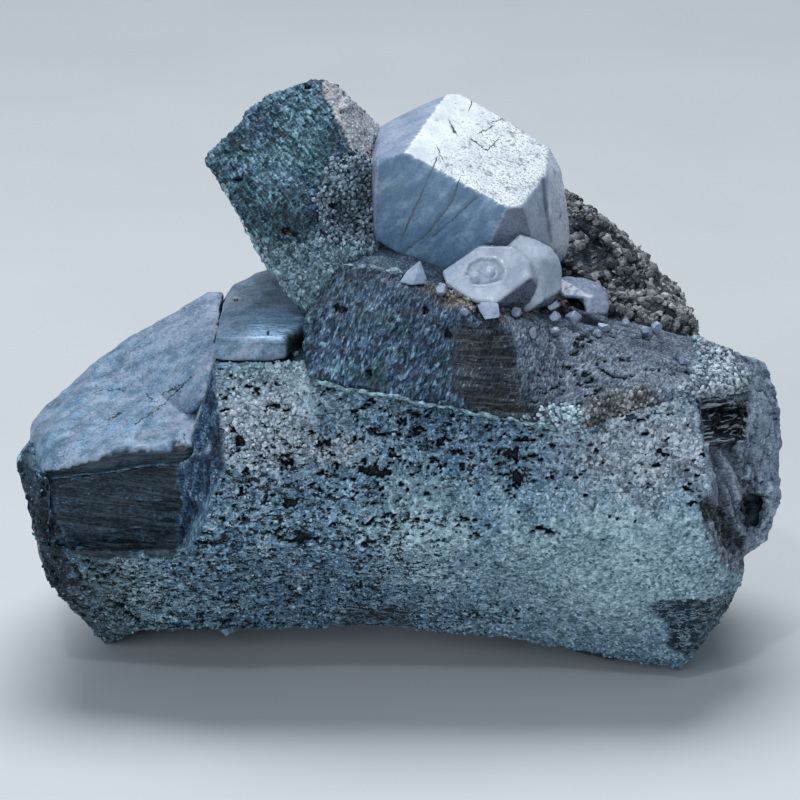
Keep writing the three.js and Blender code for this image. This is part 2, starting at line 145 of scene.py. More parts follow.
def rough(places, size, seed, octaves=3, keep=0.55):
    """Noise with finer noise on it, from about -1 to 1."""
    total = np.zeros(len(places))
    height = 1.0
    reach = 0.0
    for octave in range(octaves):
        total += height * waves(places, size, seed + octave)
        reach += height
        places = places @ TWIST.T
        size *= 0.5
        height *= keep
    return total / reach * NOISE_REACH


def clumps(places, size, seed):
    """For each place: how far the nearest lump is, in lump sizes, and the lump's number from 0 to 1."""
    scaled = places / size
    base = np.floor(scaled)
    first = np.full(len(scaled), 9.0)
    number = np.zeros(len(scaled))
    for step in itertools.product((-1, 0, 1), repeat=3):
        cell = base + step
        centre = cell + np.stack([hashed(cell, seed + axis) for axis in range(3)], axis=1)
        distance = np.linalg.norm(scaled - centre, axis=1)
        number = np.where(distance < first, hashed(cell, seed + 3), number)
        first = np.minimum(distance, first)
    return first, number


def stretched(places, direction, factor):
    """Places squeezed along a direction, so that noise on them runs long that way."""
    direction = unit(direction)
    return places - np.outer(places @ direction * (1 - 1 / factor), direction)


# Regions of the view. Outlines and lines are lists of points, each across and up in millimetres.


def inside(view, outline):
    """1 for each point of the view that is within the outline, and 0 for the others."""
    across, up = view
    found = np.zeros(len(across), bool)
    for (a0, u0), (a1, u1) in zip(outline, outline[1:] + outline[:1]):
        if u0 != u1:
            crosses = (u0 > up) != (u1 > up)
            found ^= crosses & (across < (a1 - a0) * (up - u0) / (u1 - u0) + a0)
    return found.astype(float)


def beside(view, line):
    """How far each point of the view is from a line through the given points."""
    across, up = view
    best = np.full(len(across), 1e9)
    for (a0, u0), (a1, u1) in zip(line, line[1:]):
        run, rise = a1 - a0, u1 - u0
        t = clamp(((across - a0) * run + (up - u0) * rise) / (run * run + rise * rise))
        best = np.minimum(best, np.hypot(across - a0 - t * run, up - u0 - t * rise))
    return best


def drawn(view, lines, wide, narrow):
    """1 on any of the lines, fading to 0 at the wide distance from it."""
    return np.max([fade(beside(view, line), wide, narrow) for line in lines], axis=0)


def line_marks(view, lines):
    """Marks for thin lines: "side" is 0.5 on a line and changes across it, and "near" is 1 close to one."""
    across, up = view
    best = np.ones(len(across))
    for line in lines:
        for (a0, u0), (a1, u1) in zip(line, line[1:]):
            away = beside(view, [(a0, u0), (a1, u1)])
            left = (a1 - a0) * (up - u0) > (u1 - u0) * (across - a0)
            best = np.where(away < abs(best), np.where(left, away, -away), best)
    return {"side": 0.5 + 0.5 * best, "near": fade(abs(best), 0.75, 0.4)}


def patches(view, rows):
    """From 0 to 1: how deep each point is within any of the soft ovals.

    A row is the centre across and up, then half the width and half the height."""
    across, up = view
    best = np.zeros(len(across))
    for centre_across, centre_up, half_width, half_height in rows:
        reach = ((across - centre_across) / half_width) ** 2 + ((up - centre_up) / half_height) ** 2
        best = np.maximum(best, np.exp(-reach))
    return best


# Meshes.


def placed(name, data):
    """A new object in the scene."""
    made = bpy.data.objects.new(name, data)
    bpy.context.scene.collection.objects.link(made)
    return made


class Shape:
    """A closed mesh in millimetres, with named numbers at its corners for its material."""

    def __init__(self, corners, faces):
        self.corners = corners
        self.faces = faces
        self.marks = {}

    def face_directions(self):
        """Each four-sided face's normal, twice as long as its area."""
        a, b, c, d = (self.corners[self.faces[:, k]] for k in range(4))
        return np.cross(c - a, d - b)

    def normals(self):
        facing = self.face_directions()
        total = np.zeros_like(self.corners)
        for k, axis in itertools.product(range(4), range(3)):
            total[:, axis] += np.bincount(self.faces[:, k], facing[:, axis], len(total))
        return unit(total)

    def push(self, amount):
        """Moves each corner out by its own amount."""
        self.corners = self.corners + self.normals() * np.reshape(amount, (-1, 1))

    def even(self, values, rounds):
        """Values at the corners, each averaged with those around it this many times."""
        sides = self.faces.shape[1]
        shared = np.bincount(self.faces.ravel(), minlength=len(self.corners))[:, None]
        columns = np.reshape(values, (len(self.corners), -1))
        for _ in range(rounds):
            middles = columns[self.faces].mean(axis=1).repeat(sides, axis=0)
            totals = [np.bincount(self.faces.ravel(), column, len(columns)) for column in middles.T]
            columns = np.stack(totals, axis=1) / shared
        return columns.reshape(np.shape(values))

    def spread(self, mask, rings):
        """A mask of 0 and 1, grown by this many rings of faces."""
        for _ in range(rings):
            touched = mask[self.faces].max(axis=1).repeat(self.faces.shape[1])
            mask = (np.bincount(self.faces.ravel(), touched, len(mask)) > 0).astype(float)
        return mask

    def only(self, mask):
        """The part of the shape that the mask covers, and the numbers of the corners that it keeps."""
        faces = self.faces[mask[self.faces].min(axis=1) > 0]
        used, numbers = np.unique(faces, return_inverse=True)
        return Shape(self.corners[used], numbers.reshape(faces.shape)), used

    def look(self, ragged, size, seed):
        """The view of the corners, shaken so that the edges of regions are ragged."""
        across, up = looks(self.corners)
        across = across + ragged * rough(self.corners, size, seed)
        return across, up + ragged * rough(self.corners, size, seed + 50)


def remeshed(mesh, voxel):
    """A mesh in millimetres, made again of small even faces."""
    holder = placed("holder", mesh)
    fine = holder.modifiers.new("fine", "REMESH")
    fine.mode = "VOXEL"
    fine.voxel_size = voxel
    fine.adaptivity = 0
    evaluated = holder.evaluated_get(bpy.context.evaluated_depsgraph_get())
    made = evaluated.to_mesh()
    corners = np.empty(len(made.vertices) * 3)
    made.vertices.foreach_get("co", corners)
    faces = np.empty(len(made.loops), np.int32)
    made.loops.foreach_get("vertex_index", faces)
    evaluated.to_mesh_clear()
    bpy.data.objects.remove(holder)
    bpy.data.meshes.remove(mesh)
    return Shape(corners.reshape(-1, 3), faces.reshape(-1, 4))


def dense(node, voxel, grow=SEAM, rounds=0):
    """A CAD node's shape, made of small even faces, evened out and grown a little to close its seams."""
    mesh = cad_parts[node].data.copy()
    mesh.transform(Matrix.Scale(1 / MM, 4))
    shape = remeshed(mesh, voxel)
    shape.corners = shape.even(shape.corners, rounds)
    shape.push(np.full(len(shape.corners), grow))
    return shape


def piece(name, shape, material, slot, *nodes, flat=False):
    """Writes a shape as an object that rides on the specimen and stands for these CAD nodes."""
    shape.corners[:, 2] = np.maximum(shape.corners[:, 2], 0)
    mesh = bpy.data.meshes.new(name)
    mesh.from_pydata(shape.corners * MM, [], shape.faces)
    mesh.polygons.foreach_set("use_smooth", np.full(len(shape.faces), not flat))
    for mark, values in shape.marks.items():
        layer = mesh.attributes.new(mark, "FLOAT", "POINT")
        layer.data.foreach_set("value", np.asarray(values, np.float32))
    mesh.materials.append(material)
    made = placed(name, mesh)
    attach(made, "root")
    if nodes:
        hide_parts(*nodes)


# Grains of crust. A grain has one or two rings of corners under its top, and a buried tip.

GRAIN_SIDES = 5
SHARP_RINGS = ((1.0, 0.05),)
BLUNT_RINGS = ((0.62, 0.6), (1.0, 0.02))
GRAIN_TOP = (0.1, 0.05, 0.82)
GRAIN_TIP = (0, 0, -0.75)
CORNER_SHAKE = 0.11
TONE_SPREAD = 0.32
CROWD = 7


def grain_template(rings):
    corners = []
    for radius, height in rings:
        for side in range(GRAIN_SIDES):
            angle = (side + height) / GRAIN_SIDES * math.tau
            corners.append((radius * math.cos(angle), radius * math.sin(angle), height))
    top, tip = len(corners), len(corners) + 1
    last = (len(rings) - 1) * GRAIN_SIDES
    faces = []
    for side in range(GRAIN_SIDES):
        after = (side + 1) % GRAIN_SIDES
        faces.append((top, side, after))
        if last:
            faces += [(side, last + side, last + after), (side, last + after, after)]
        faces.append((last + side, tip, last + after))
    return np.array(corners + [GRAIN_TOP, GRAIN_TIP]), np.array(faces)


def scattered(shape, weight, spacing, seed):
    """Places on the shape, about one to a cell of this spacing, each kept as likely as its weight says."""
    rng = np.random.default_rng(seed)
    area = np.linalg.norm(shape.face_directions(), axis=1) / 2
    likely = area * (weight[shape.faces].min(axis=1) > 0.02)
    count = int(likely.sum() / spacing**2 * CROWD)
    faces = rng.choice(len(area), count, p=likely / likely.sum())
    a, b, c, d = (shape.corners[shape.faces[faces, k]] for k in range(4))
    s, t = rng.random((2, count, 1))
    places = (a * (1 - s) + b * s) * (1 - t) + (d * (1 - s) + c * s) * t
    cells = np.sort(np.unique(np.floor(places / spacing), axis=0, return_index=True)[1])
    corners = shape.faces[faces[cells], 0]
    kept = rng.random(len(cells)) < weight[corners]
    return places[cells[kept]], corners[kept]


def crust(name, shape, weight, spacing, size, seed, marks, rings=BLUNT_RINGS, tilt=0.5, lift=0.25):
    """Writes grains that sit on the shape as a piece of crust with flat faces.

    size is one radius for all, or one for each corner of the shape, as marks are."""
    places, corners = scattered(shape, weight, spacing, seed)
    rng = np.random.default_rng(seed + 1)
    count = len(places)
    template, template_faces = grain_template(rings)
    radius = np.broadcast_to(size, len(shape.corners))[corners] * rng.uniform(0.65, 1.35, count)
    standing = shape.normals()[corners]
    outward = unit(standing + rng.normal(0, tilt, (count, 3)))
    sideways = unit(np.cross(outward, rng.normal(size=(count, 3))))
    axes = np.stack([sideways, np.cross(outward, sideways), outward], axis=1)
    own = template * rng.uniform(0.7, 1.3, (count, 1, 3))
    own = own + rng.normal(0, CORNER_SHAKE, (count, len(template), 3))
    centres = places + standing * (radius * lift)[:, None]
    made = Shape(
        (centres[:, None] + (own * radius[:, None, None]) @ axes).reshape(-1, 3),
        (template_faces + np.arange(count)[:, None, None] * len(template)).reshape(-1, 3),
    )
    tone = 0.55 + 0.26 * rough(places, 2.4, seed + 2) + rng.uniform(-TONE_SPREAD, TONE_SPREAD, count)
    own_marks = {"tone": clamp(tone)} | {mark: values[corners] for mark, values in marks.items()}
    made.marks = {mark: np.repeat(values, len(template)) for mark, values in own_marks.items()}
    piece(name, made, CRUST, "crusted_hornblende", flat=True)


STRIP_SIDES = 10
STRIP_STEP = 0.3
STRIP_VOXEL = 0.17
STRIP_END = 1.2


def strip(name, points, width, thickness, seed):
    """A thin uneven ribbon of crust along a line. Its points are across, up and back, as in seen()."""
    line = np.array([seen(*point) for point in points])
    lengths = np.concatenate([[0], np.cumsum(np.linalg.norm(np.diff(line, axis=0), axis=1))])
    stations = np.arange(0, lengths[-1], STRIP_STEP)
    centres = np.stack([np.interp(stations, lengths, line[:, axis]) for axis in range(3)], axis=1)
    shake = [rough(centres, 1.5, seed + 7 * axis, 4, 0.65) for axis in range(3)]
    centres = centres + 0.4 * np.stack(shake, axis=1)
    forward = unit(np.gradient(centres, axis=0))
    out = unit(np.cross(forward, np.cross(TOWARDS, forward)))
    over = np.cross(out, forward)
    swelling = np.clip(1 + 1.1 * rough(centres, 1.1, seed + 5), 0.25, 2)
    swelling *= np.minimum(1, np.minimum(stations, stations[-1] - stations) / STRIP_END + 0.15)
    rings = []
    for side in range(STRIP_SIDES):
        angle = side / STRIP_SIDES * math.tau
        rings.append(width * math.cos(angle) * over + thickness * math.sin(angle) * out)
    corners = (centres[:, None] + swelling[:, None, None] * np.stack(rings, axis=1)).reshape(-1, 3)
    last = len(corners) - STRIP_SIDES
    faces = [list(range(STRIP_SIDES))[::-1], list(range(last, len(corners)))]
    for here, side in itertools.product(range(0, last, STRIP_SIDES), range(STRIP_SIDES)):
        after = (side + 1) % STRIP_SIDES
        there = here + STRIP_SIDES
        faces.append((here + side, here + after, there + after, there + side))
    mesh = bpy.data.meshes.new("strip")
    mesh.from_pydata(corners.tolist(), [], faces)
    shape = remeshed(mesh, STRIP_VOXEL)
    shape.push(0.16 * rough(shape.corners, 0.6, seed + 9))
    shape.marks = {"tone": clamp(0.4 + 0.45 * rough(shape.corners, 0.8, seed + 11))}
    piece(name, shape, RIM, "hornblende", flat=True)


# Materials.


class Look:
    """A material under construction. Its own colour is painted over step by step.

    A factor is a number, another node's output, or the name of a mark."""

    def __init__(self, name, roughness=0.5, specular=0.5):
        self.material = bpy.data.materials.new(name)
        self.material.use_nodes = True
        self.tree = self.material.node_tree
        self.shader = self.tree.nodes["Principled BSDF"]
        self.shader.inputs["Roughness"].default_value = roughness
        self.shader.inputs["Specular IOR Level"].default_value = specular
        self.object_place = self.add("ShaderNodeTexCoord").outputs["Object"]
        self.colour = None

    def add(self, kind, inputs=(), **settings):
        """A new node. An input is a value, another node's output, or the name of a mark."""
        node = self.tree.nodes.new(kind)
        for name, value in settings.items():
            setattr(node, name, value)
        for socket, value in dict(inputs).items():
            if isinstance(value, str):
                value = self.add("ShaderNodeAttribute", attribute_name=value).outputs["Fac"]
            if isinstance(value, bpy.types.NodeSocket):
                self.tree.links.new(value, node.inputs[socket])
            else:
                node.inputs[socket].default_value = value
        return node

    def noise(self, length, breadth=None, direction=(1, 0, 0), detail=3.0, grain=0.58):
        """Noise this long along a direction and this broad across it, in millimetres."""
        breadth = length if breadth is None else breadth
        turn = Vector((1, 0, 0)).rotation_difference(Vector(direction)).to_euler()
        node = self.add("ShaderNodeMapping", {"Vector": self.object_place}, vector_type="TEXTURE")
        node.inputs["Rotation"].default_value = turn
        node.inputs["Scale"].default_value = (length * MM, breadth * MM, breadth * MM)
        inputs = {"Vector": node.outputs["Vector"], "Scale": 1.0, "Detail": detail, "Roughness": grain}
        return self.add("ShaderNodeTexNoise", inputs).outputs["Fac"]

    def ramp(self, factor, *stops):
        """A colour or a grey value for each factor. A stop is the factor there and its colour or value."""
        node = self.add("ShaderNodeValToRGB", {"Fac": factor})
        elements = node.color_ramp.elements
        while len(elements) < len(stops):
            elements.new(1)
        for element, (position, colour) in zip(elements, stops):
            element.position = position
            element.color = (*colour, 1) if isinstance(colour, tuple) else (colour, colour, colour, 1)
        return node.outputs["Color"]

    def mix(self, factor, first, second):
        first, second = ((*colour, 1) if isinstance(colour, tuple) else colour for colour in (first, second))
        inputs = {"Factor": factor, 6: first, 7: second}
        return self.add("ShaderNodeMix", inputs, data_type="RGBA").outputs[2]

    def paint(self, factor, colour):
        """Lays a colour over the material's own, as thickly as the factor says."""
        self.colour = self.mix(factor, self.colour, colour)

    def times(self, first, second):
        return self.add("ShaderNodeMath", {0: first, 1: second}, operation="MULTIPLY").outputs[0]

    def plus(self, first, second):
        return self.add("ShaderNodeMath", {0: first, 1: second}, operation="ADD").outputs[0]

    def thin_line(self, wander):
        """1 on the thin lines that line_marks places, which wander by about this share of a millimetre."""
        shake = self.times(self.noise(0.8, detail=4, grain=0.66), wander)
        side = self.plus(self.plus("side", shake), -wander / 2)
        return self.times(self.ramp(side, (0.45, 0), (0.485, 1), (0.515, 1), (0.55, 0)), "near")

    def finish(self, roughness=None, bumps=()):
        """The finished material. A bump is its height, its strength and its depth in millimetres."""
        self.tree.links.new(self.colour, self.shader.inputs["Base Color"])
        if roughness is not None:
            self.tree.links.new(roughness, self.shader.inputs["Roughness"])
        inputs = {}
        for height, strength, distance in bumps:
            inputs |= {"Height": height, "Strength": strength, "Distance": distance * MM}
            inputs["Normal"] = self.add("ShaderNodeBump", inputs).outputs["Normal"]
        if inputs:
            self.tree.links.new(inputs["Normal"], self.shader.inputs["Normal"])
        return self.material


# Colours from the darkest tone to the lightest, at these tones.
TONES = (0.12, 0.38, 0.62, 0.96)
BLUE = ((0.008, 0.022, 0.037), (0.063, 0.13, 0.2), (0.158, 0.285, 0.405), (0.57, 0.73, 0.88))
GREEN = ((0.02, 0.044, 0.052), (0.15, 0.24, 0.28), (0.33, 0.47, 0.53), (0.66, 0.8, 0.87))
BEIGE = ((0.022, 0.03, 0.037), (0.205, 0.255, 0.305), (0.44, 0.51, 0.585), (0.8, 0.86, 0.93))
CREAM = ((0.1, 0.09, 0.088), (0.27, 0.25, 0.255), (0.46, 0.435, 0.445), (0.7, 0.68, 0.7))
BROWN = ((0.004, 0.004, 0.004), (0.036, 0.032, 0.03), (0.19, 0.168, 0.155), (0.5, 0.46, 0.43))
DARK = ((0.001, 0.003, 0.006), (0.006, 0.019, 0.033), (0.03, 0.068, 0.106), (0.28, 0.41, 0.5))
NAVY = ((0.001, 0.003, 0.01), (0.009, 0.025, 0.056), (0.055, 0.115, 0.2), (0.36, 0.52, 0.64))
TEAL = ((0.002, 0.008, 0.013), (0.013, 0.042, 0.06), (0.062, 0.15, 0.2), (0.34, 0.54, 0.62))
VIOLET = ((0.008, 0.012, 0.02), (0.06, 0.08, 0.115), (0.18, 0.222, 0.3), (0.5, 0.57, 0.66))
SOOT = ((0.001, 0.001, 0.002), (0.004, 0.008, 0.014), (0.034, 0.048, 0.068), (0.45, 0.5, 0.56))
SLAB = ((0.014, 0.024, 0.036), (0.1, 0.138, 0.19), (0.21, 0.27, 0.355), (0.46, 0.54, 0.65))
PALE_LAYER = (0.42, 0.49, 0.56)
VEIN = (0.3, 0.4, 0.48)
# GLINT is the colour of painted highlights.
GLINT = (0.8, 0.88, 0.96)
# Near-black for pits and cracks: the dark stone in them, with painted shade.
FINE_PIT = (0.004, 0.009, 0.012)
DEEP_PIT = (0.001, 0.004, 0.008)


def stone_look(
    name, base, regions, direction=(1, 0, 0), length=0.5, share=0.62, glints=0, specular=0.4,
    layers=None, pits=False,
):
    """Stone whose colour follows its tone. Each marked region has colours of its own.

    layers is square to the pale layers, and pits adds small dark pits. Marks say how much of each."""
    look = Look(name, 0.5, specular)
    fine = look.noise(length, 0.26, direction, 4, 0.64)
    driver = look.plus(look.times("tone", share), look.ramp(fine, (0.36, 0), (0.64, 1 - share)))
    look.colour = look.ramp(driver, *zip(TONES, base))
    for mark, colours in regions.items():
        look.paint(mark, look.ramp(driver, *zip(TONES, colours)))
    if layers:
        pale = look.ramp(look.noise(0.34, 6, layers, 2, 0.6), (0.53, 0), (0.57, 1))
        look.paint(look.times(pale, "layers"), PALE_LAYER)
        vein = look.ramp(look.noise(1.2, 2.6, layers, 4, 0.7), (0.475, 0), (0.5, 1), (0.525, 0))
        look.paint(look.times(vein, "veins"), VEIN)
    # These small pits have no hollow in the mesh: they are painted dark, as dark stone with painted shade.
    if pits:
        spots = look.plus(look.noise(1.1, 0.66, detail=5, grain=0.7), look.times("pitty", 0.1))
        look.paint(look.ramp(spots, (0.64, 0), (0.665, 1)), FINE_PIT)
    # Glints are painted highlights: small light specks laid into the colour where the tone is light.
    if glints:
        glint = look.ramp(look.noise(0.24, detail=1), (0.7, 0), (0.76, glints))
        look.paint(look.times(glint, look.ramp("tone", (0.3, 0), (0.5, 1))), GLINT)
    # Pits and cracks under the pit mark are painted near-black: partly the dark stone in them, partly
    # painted shade.
    look.paint(look.ramp("pit", (0.25, 0), (0.6, 1)), DEEP_PIT)
    roughness = look.ramp(look.noise(0.4, detail=2), (0.36, 0.16), (0.5, 0.5), (0.65, 0.7))
    return look.finish(roughness, [(fine, 0.5, 0.16)])


def plate_look():
    """Silky pale blue plates, mottled and finely striated."""
    look = Look("pale plate", 0.42)
    cloud = look.noise(2.6, 2.2, (1, 0.5, 0.4), 5, 0.66)
    fine = look.noise(0.34, detail=3, grain=0.65)
    bands = look.noise(5, 0.24, (1, 0, 0), 5, 0.66)
    blues = ((0.38, (0.065, 0.13, 0.2)), (0.5, (0.12, 0.22, 0.335)), (0.62, (0.2, 0.325, 0.48)))
    look.colour = look.ramp(cloud, *blues)
    white = look.ramp(cloud, (0.4, (0.165, 0.22, 0.31)), (0.6, (0.3, 0.355, 0.46)))
    look.paint(look.ramp(look.noise(5, 3.6, (1, 0.5, 0.4), 4, 0.6), (0.42, 0), (0.58, 0.9)), white)
    look.paint("white", white)
    # sheen is a painted sheen: light bands laid over the plate's striation.
    sheen = ((0.4, (0.065, 0.15, 0.26)), (0.49, (0.21, 0.39, 0.6)), (0.57, (0.45, 0.66, 0.88)))
    look.paint("banded", look.ramp(bands, *sheen))
    look.paint(look.ramp(fine, (0.36, 0.55), (0.46, 0)), (0.05, 0.09, 0.125))
    look.paint(look.ramp(fine, (0.58, 0), (0.68, 0.5)), (0.5, 0.58, 0.68))
    # The olive mark is painted shade, where the upper crystal shades the plate.
    look.paint("olive", look.ramp(fine, (0.4, (0.001, 0.003, 0.003)), (0.62, (0.03, 0.045, 0.042))))
    # The under mark is painted shadow: the plate's lower front painted as the shade beneath it.
    look.paint("under", look.ramp(bands, (0.42, (0.001, 0.004, 0.008)), (0.58, (0.03, 0.062, 0.09))))
    look.paint(look.thin_line(0.7), (0.003, 0.006, 0.01))
    look.paint(look.ramp("pit", (0.3, 0), (0.6, 1)), (0.002, 0.004, 0.006))
    return look.finish(look.ramp(fine, (0.38, 0.25), (0.62, 0.6)), [(cloud, 0.3, 0.25), (fine, 0.35, 0.12)])


def apatite_look():
    """Milky apatite: white on top, blue in front with growth streaks, with fine pits and cracks. The front's
    darker blue is partly painted shade.
    """
    look = Look("milky apatite", 0.32, 0.55)
    look.shader.inputs["Subsurface Weight"].default_value = 0.12
    look.shader.inputs["Subsurface Scale"].default_value = 0.0012
    look.shader.inputs["Subsurface Radius"].default_value = (0.7, 0.9, 1.2)
    cloud = look.noise(3.2, detail=4)
    fine = look.noise(0.4, detail=3)
    silk = look.noise(3, 1.2, STREAK_DIRECTION, 5, 0.62)
    look.colour = look.ramp(cloud, (0.38, (0.23, 0.285, 0.41)), (0.62, (0.36, 0.42, 0.54)))
    look.paint(look.ramp(fine, (0.34, 0.3), (0.46, 0)), (0.17, 0.2, 0.27))
    white = look.ramp(cloud, (0.35, (0.7, 0.74, 0.79)), (0.6, (0.9, 0.93, 0.95)))
    specks = look.ramp(look.noise(0.28, detail=4, grain=0.65), (0.4, 1), (0.49, 0))
    # Where dotted is low the top stays plain white, without specks: painted light.
    look.paint("white", look.mix("dotted", white, look.mix(specks, white, (0.3, 0.33, 0.38))))
    # The front face's blue is darker than the top: a blue tint with painted shade.
    blues = ((0.38, (0.1, 0.185, 0.3)), (0.52, (0.145, 0.245, 0.375)), (0.66, (0.25, 0.36, 0.48)))
    blue = look.mix(look.ramp(fine, (0.36, 0.35), (0.5, 0)), look.ramp(silk, *blues), (0.08, 0.15, 0.22))
    faint = look.noise(9, 2.6, STREAK_DIRECTION, 3, 0.55)
    faint = look.ramp(faint, (0.488, 0), (0.5, 0.6), (0.512, 0))
    look.paint("blue", look.mix(faint, blue, (0.13, 0.17, 0.16)))
    look.paint("streak", (0.055, 0.078, 0.07))
    # This mark paints shade on faces turned from the light, along with the real grey of the side crystal and
    # granules.
    look.paint("grey", look.ramp(fine, (0.35, (0.04, 0.055, 0.085)), (0.6, (0.11, 0.135, 0.19))))
    look.paint("pit", (0.1, 0.12, 0.15))
    look.paint("crack", (0.02, 0.026, 0.03))
    look.paint(look.thin_line(0.4), (0.03, 0.042, 0.042))
    return look.finish(look.ramp(fine, (0.35, 0.2), (0.65, 0.45)), [(silk, 0.1, 0.15), (fine, 0.18, 0.08)])


STREAK_DIRECTION = unit(sighted(2, 19, -16) - sighted(9, 27, -21.5))
UPPER_FIBRE = unit(seen(-8, 22, -12) - seen(-17, 34, -7))
MIDDLE_FIBRE = unit(seen(0.4, 1, -22) - seen(5, 13, -18))

CRUST_REGIONS = {"green": GREEN, "beige": BEIGE, "brown": BROWN, "dark": DARK}
FRONT_REGIONS = CRUST_REGIONS | {
    "recess": DARK, "wall": NAVY, "violet": VIOLET, "slab": SLAB, "layered": SOOT,
}
UPPER_REGIONS = {"teal": TEAL, "green": GREEN, "cream": CREAM, "dark": DARK}
MIDDLE_REGIONS = {"teal": TEAL, "violet": VIOLET, "layered": SOOT, "brown": BROWN}
CRUST = stone_look("crust grains", BLUE, CRUST_REGIONS, share=0.7, glints=0.8, specular=0.25, pits=True)
FRONT = stone_look(
    "crusted front", BLUE, FRONT_REGIONS, glints=0.9, specular=0.25, layers=(0.14, 0, 1), pits=True
)
REST = stone_look("dark rock", DARK, {"green": BLUE}, length=1.5)
PLATE = plate_look()
APATITE = apatite_look()
RIM = stone_look("pale rim", GREEN, {})
UPPER_STONE = stone_look("teal fibres", NAVY, UPPER_REGIONS, UPPER_FIBRE, 0.7, 0.5)
MIDDLE_STONE = stone_look("denim fibres", NAVY, MIDDLE_REGIONS, MIDDLE_FIBRE, 0.8, 0.5, layers=(0.1, 0, 1))
BACK_STONE = stone_look("dark stone", SOOT, {"beige": BROWN}, (1, 0.2, -0.5), 1.2)


# The main block.

# The least turn towards the view that counts as front, and where the broken end and the lower facet start.
FRONT_FACING = 0.06
END_START = 36
FACET_EDGE = -13.5
RECESS = [
    (-45.4, -4.6), (-27.6, -4.6), (-27.7, -19.4), (-35, -19.7), (-41, -19.4), (-43.2, -14), (-44.2, -9),
]
# Ovals of painted shadow in the recess: under the plate's edge and in the corner at the ledge.
RECESS_SHADOWS = [(-32, -9, 4, 1.6), (-36, -18.4, 7, 1.2)]
SIDE_FACE = [
    (-25, 1.9), (-23.2, 4.9), (-22.9, 0), (-22.1, -5), (-21.9, -8.7), (-25, -12.5), (-26.9, -16.2),
    (-27.7, -19.6), (-27.8, -5), (-26, -5),
]
BARE_CORNER = [
    (31.2, -25.4), (33.1, -24.8), (37.5, -25), (42, -23.8), (37.5, -31.5), (35.6, -32.2), (33.5, -31),
    (33.4, -28.1),
]
BARE_EDGE = [(-7.5, -27), (-5, -26.4), (-2.8, -25.6), (1.4, -25.8), (1.2, -28.6), (-7.4, -28.6)]
BROKEN_END = [
    (37.6, 2), (37.4, -4), (38.4, -10), (37.6, -13), (38.8, -18), (41, -21.5), (60, -24), (60, 9), (37, 9),
]
END_LAYERS = [(37.6, 0.2), (43.6, -0.2), (43.2, -5.6), (41, -6.2), (38, -5)]
END_ROCK = [(37.6, -5.6), (43.4, -6), (43, -12), (42, -19), (38.8, -18)]
END_HOLLOW = [(38.4, -13.2), (40, -14.6), (41.4, -17.6)]
END_POCKETS = [(44.1, -12.6, 2, 3.8), (39, -21, 1.6, 0.5), (42.6, -17.6, 0.8, 1.2)]
END_EDGES = [
    [(45.2, -8.8), (46.2, -12), (46.4, -14), (45, -17.6)], [(37.8, 0.1), (41, -0.2), (43.6, -0.7)],
    [(43.9, -0.5), (43.8, -5), (43.4, -10)],
]
FRONT_CRACK = [(-36, -25), (-34.4, -26.4), (-33, -27.6), (-29.2, -28.1)]
BEIGE_PATCHES = [(-18, -3, 7, 5.4), (31, -5, 9, 7), (24, -1.6, 7, 2.6), (41, 4.5, 5, 3), (-10, -6, 5, 2)]
GREEN_PATCHES = [(2, -17, 7, 5), (28, -21, 20, 9), (-16, 3, 8, 3), (-36, -25, 8, 4)]
PALE_PATCHES = [(30, -5, 10, 6), (30, -22, 12, 8), (4, -20, 8, 5)]
PITTED_PATCHES = [
    (-14, -12, 15, 8), (12, -7, 8, 4.5), (-24, -18, 14, 6), (3, -4, 14, 3), (10, -27, 14, 1.6),
    (-34, -24, 10, 3),
]
DEEP_PITS = [
    (-3.6, -8.9, 2.2, 1), (-9.4, -5.6, 1.3, 0.7), (14.3, -7, 1, 1), (14.8, -10, 0.8, 1.2),
    (-12, -17.5, 3, 0.4), (-20, -5.4, 1, 0.9), (18, -16.5, 2.2, 0.4), (-26.8, -22.4, 2.6, 0.4),
    (-14, -13, 1.2, 0.6),
]


def facing_front(shape):
    """1 where the main block faces the front or belongs to its broken end, and 0 elsewhere."""
    x, _, z = shape.corners.T
    normals = shape.normals()
    facing = normals @ TOWARDS
    end = (x > END_START) & (facing > -0.4)
    recess_floor = (x < -24) & (z < 24)
    return ((facing > FRONT_FACING) & ((normals[:, 2] < 0.75) | recess_floor) | end).astype(float)


def swell(places):
    """How far the main block's surface rises and falls on the whole."""
    return 0.3 * rough(places, 6, 1, 4)


def front_regions(shape, view):
    """A mask for each kind of surface on the front."""
    across, up = view
    normals = shape.normals()
    facing = normals @ TOWARDS
    front = ((facing > FRONT_FACING) & (normals[:, 1] < -0.2)).astype(float)
    recess = inside(view, RECESS) * (facing > 0)
    beside_recess = (normals[:, 0] < -0.55) * (across > -29) * (across < -20)
    wall = np.maximum(inside(view, SIDE_FACE), beside_recess) * front * (1 - recess)
    bare = np.maximum(inside(view, BARE_CORNER), inside(view, BARE_EDGE)) * front
    end = inside(view, BROKEN_END) * (1 - bare)
    layered = inside(view, END_LAYERS) * end
    slab = end * (1 - layered) * fade(across, 42.4, 43.8)
    rim = fade(-across, 40.2, 42) * front
    rim = np.maximum(rim, fade(-across, 28, 42) * fade(-up, 17, 22) * 0.75) * (1 - recess)
    crusted = front * (1 - recess) * (1 - wall) * (1 - bare) * (1 - end)
    return SimpleNamespace(
        front=front, recess=recess, wall=wall, bare=bare, end=end, layered=layered, slab=slab, rim=rim,
        rock=inside(view, END_ROCK) * end, crusted=crusted,
    )


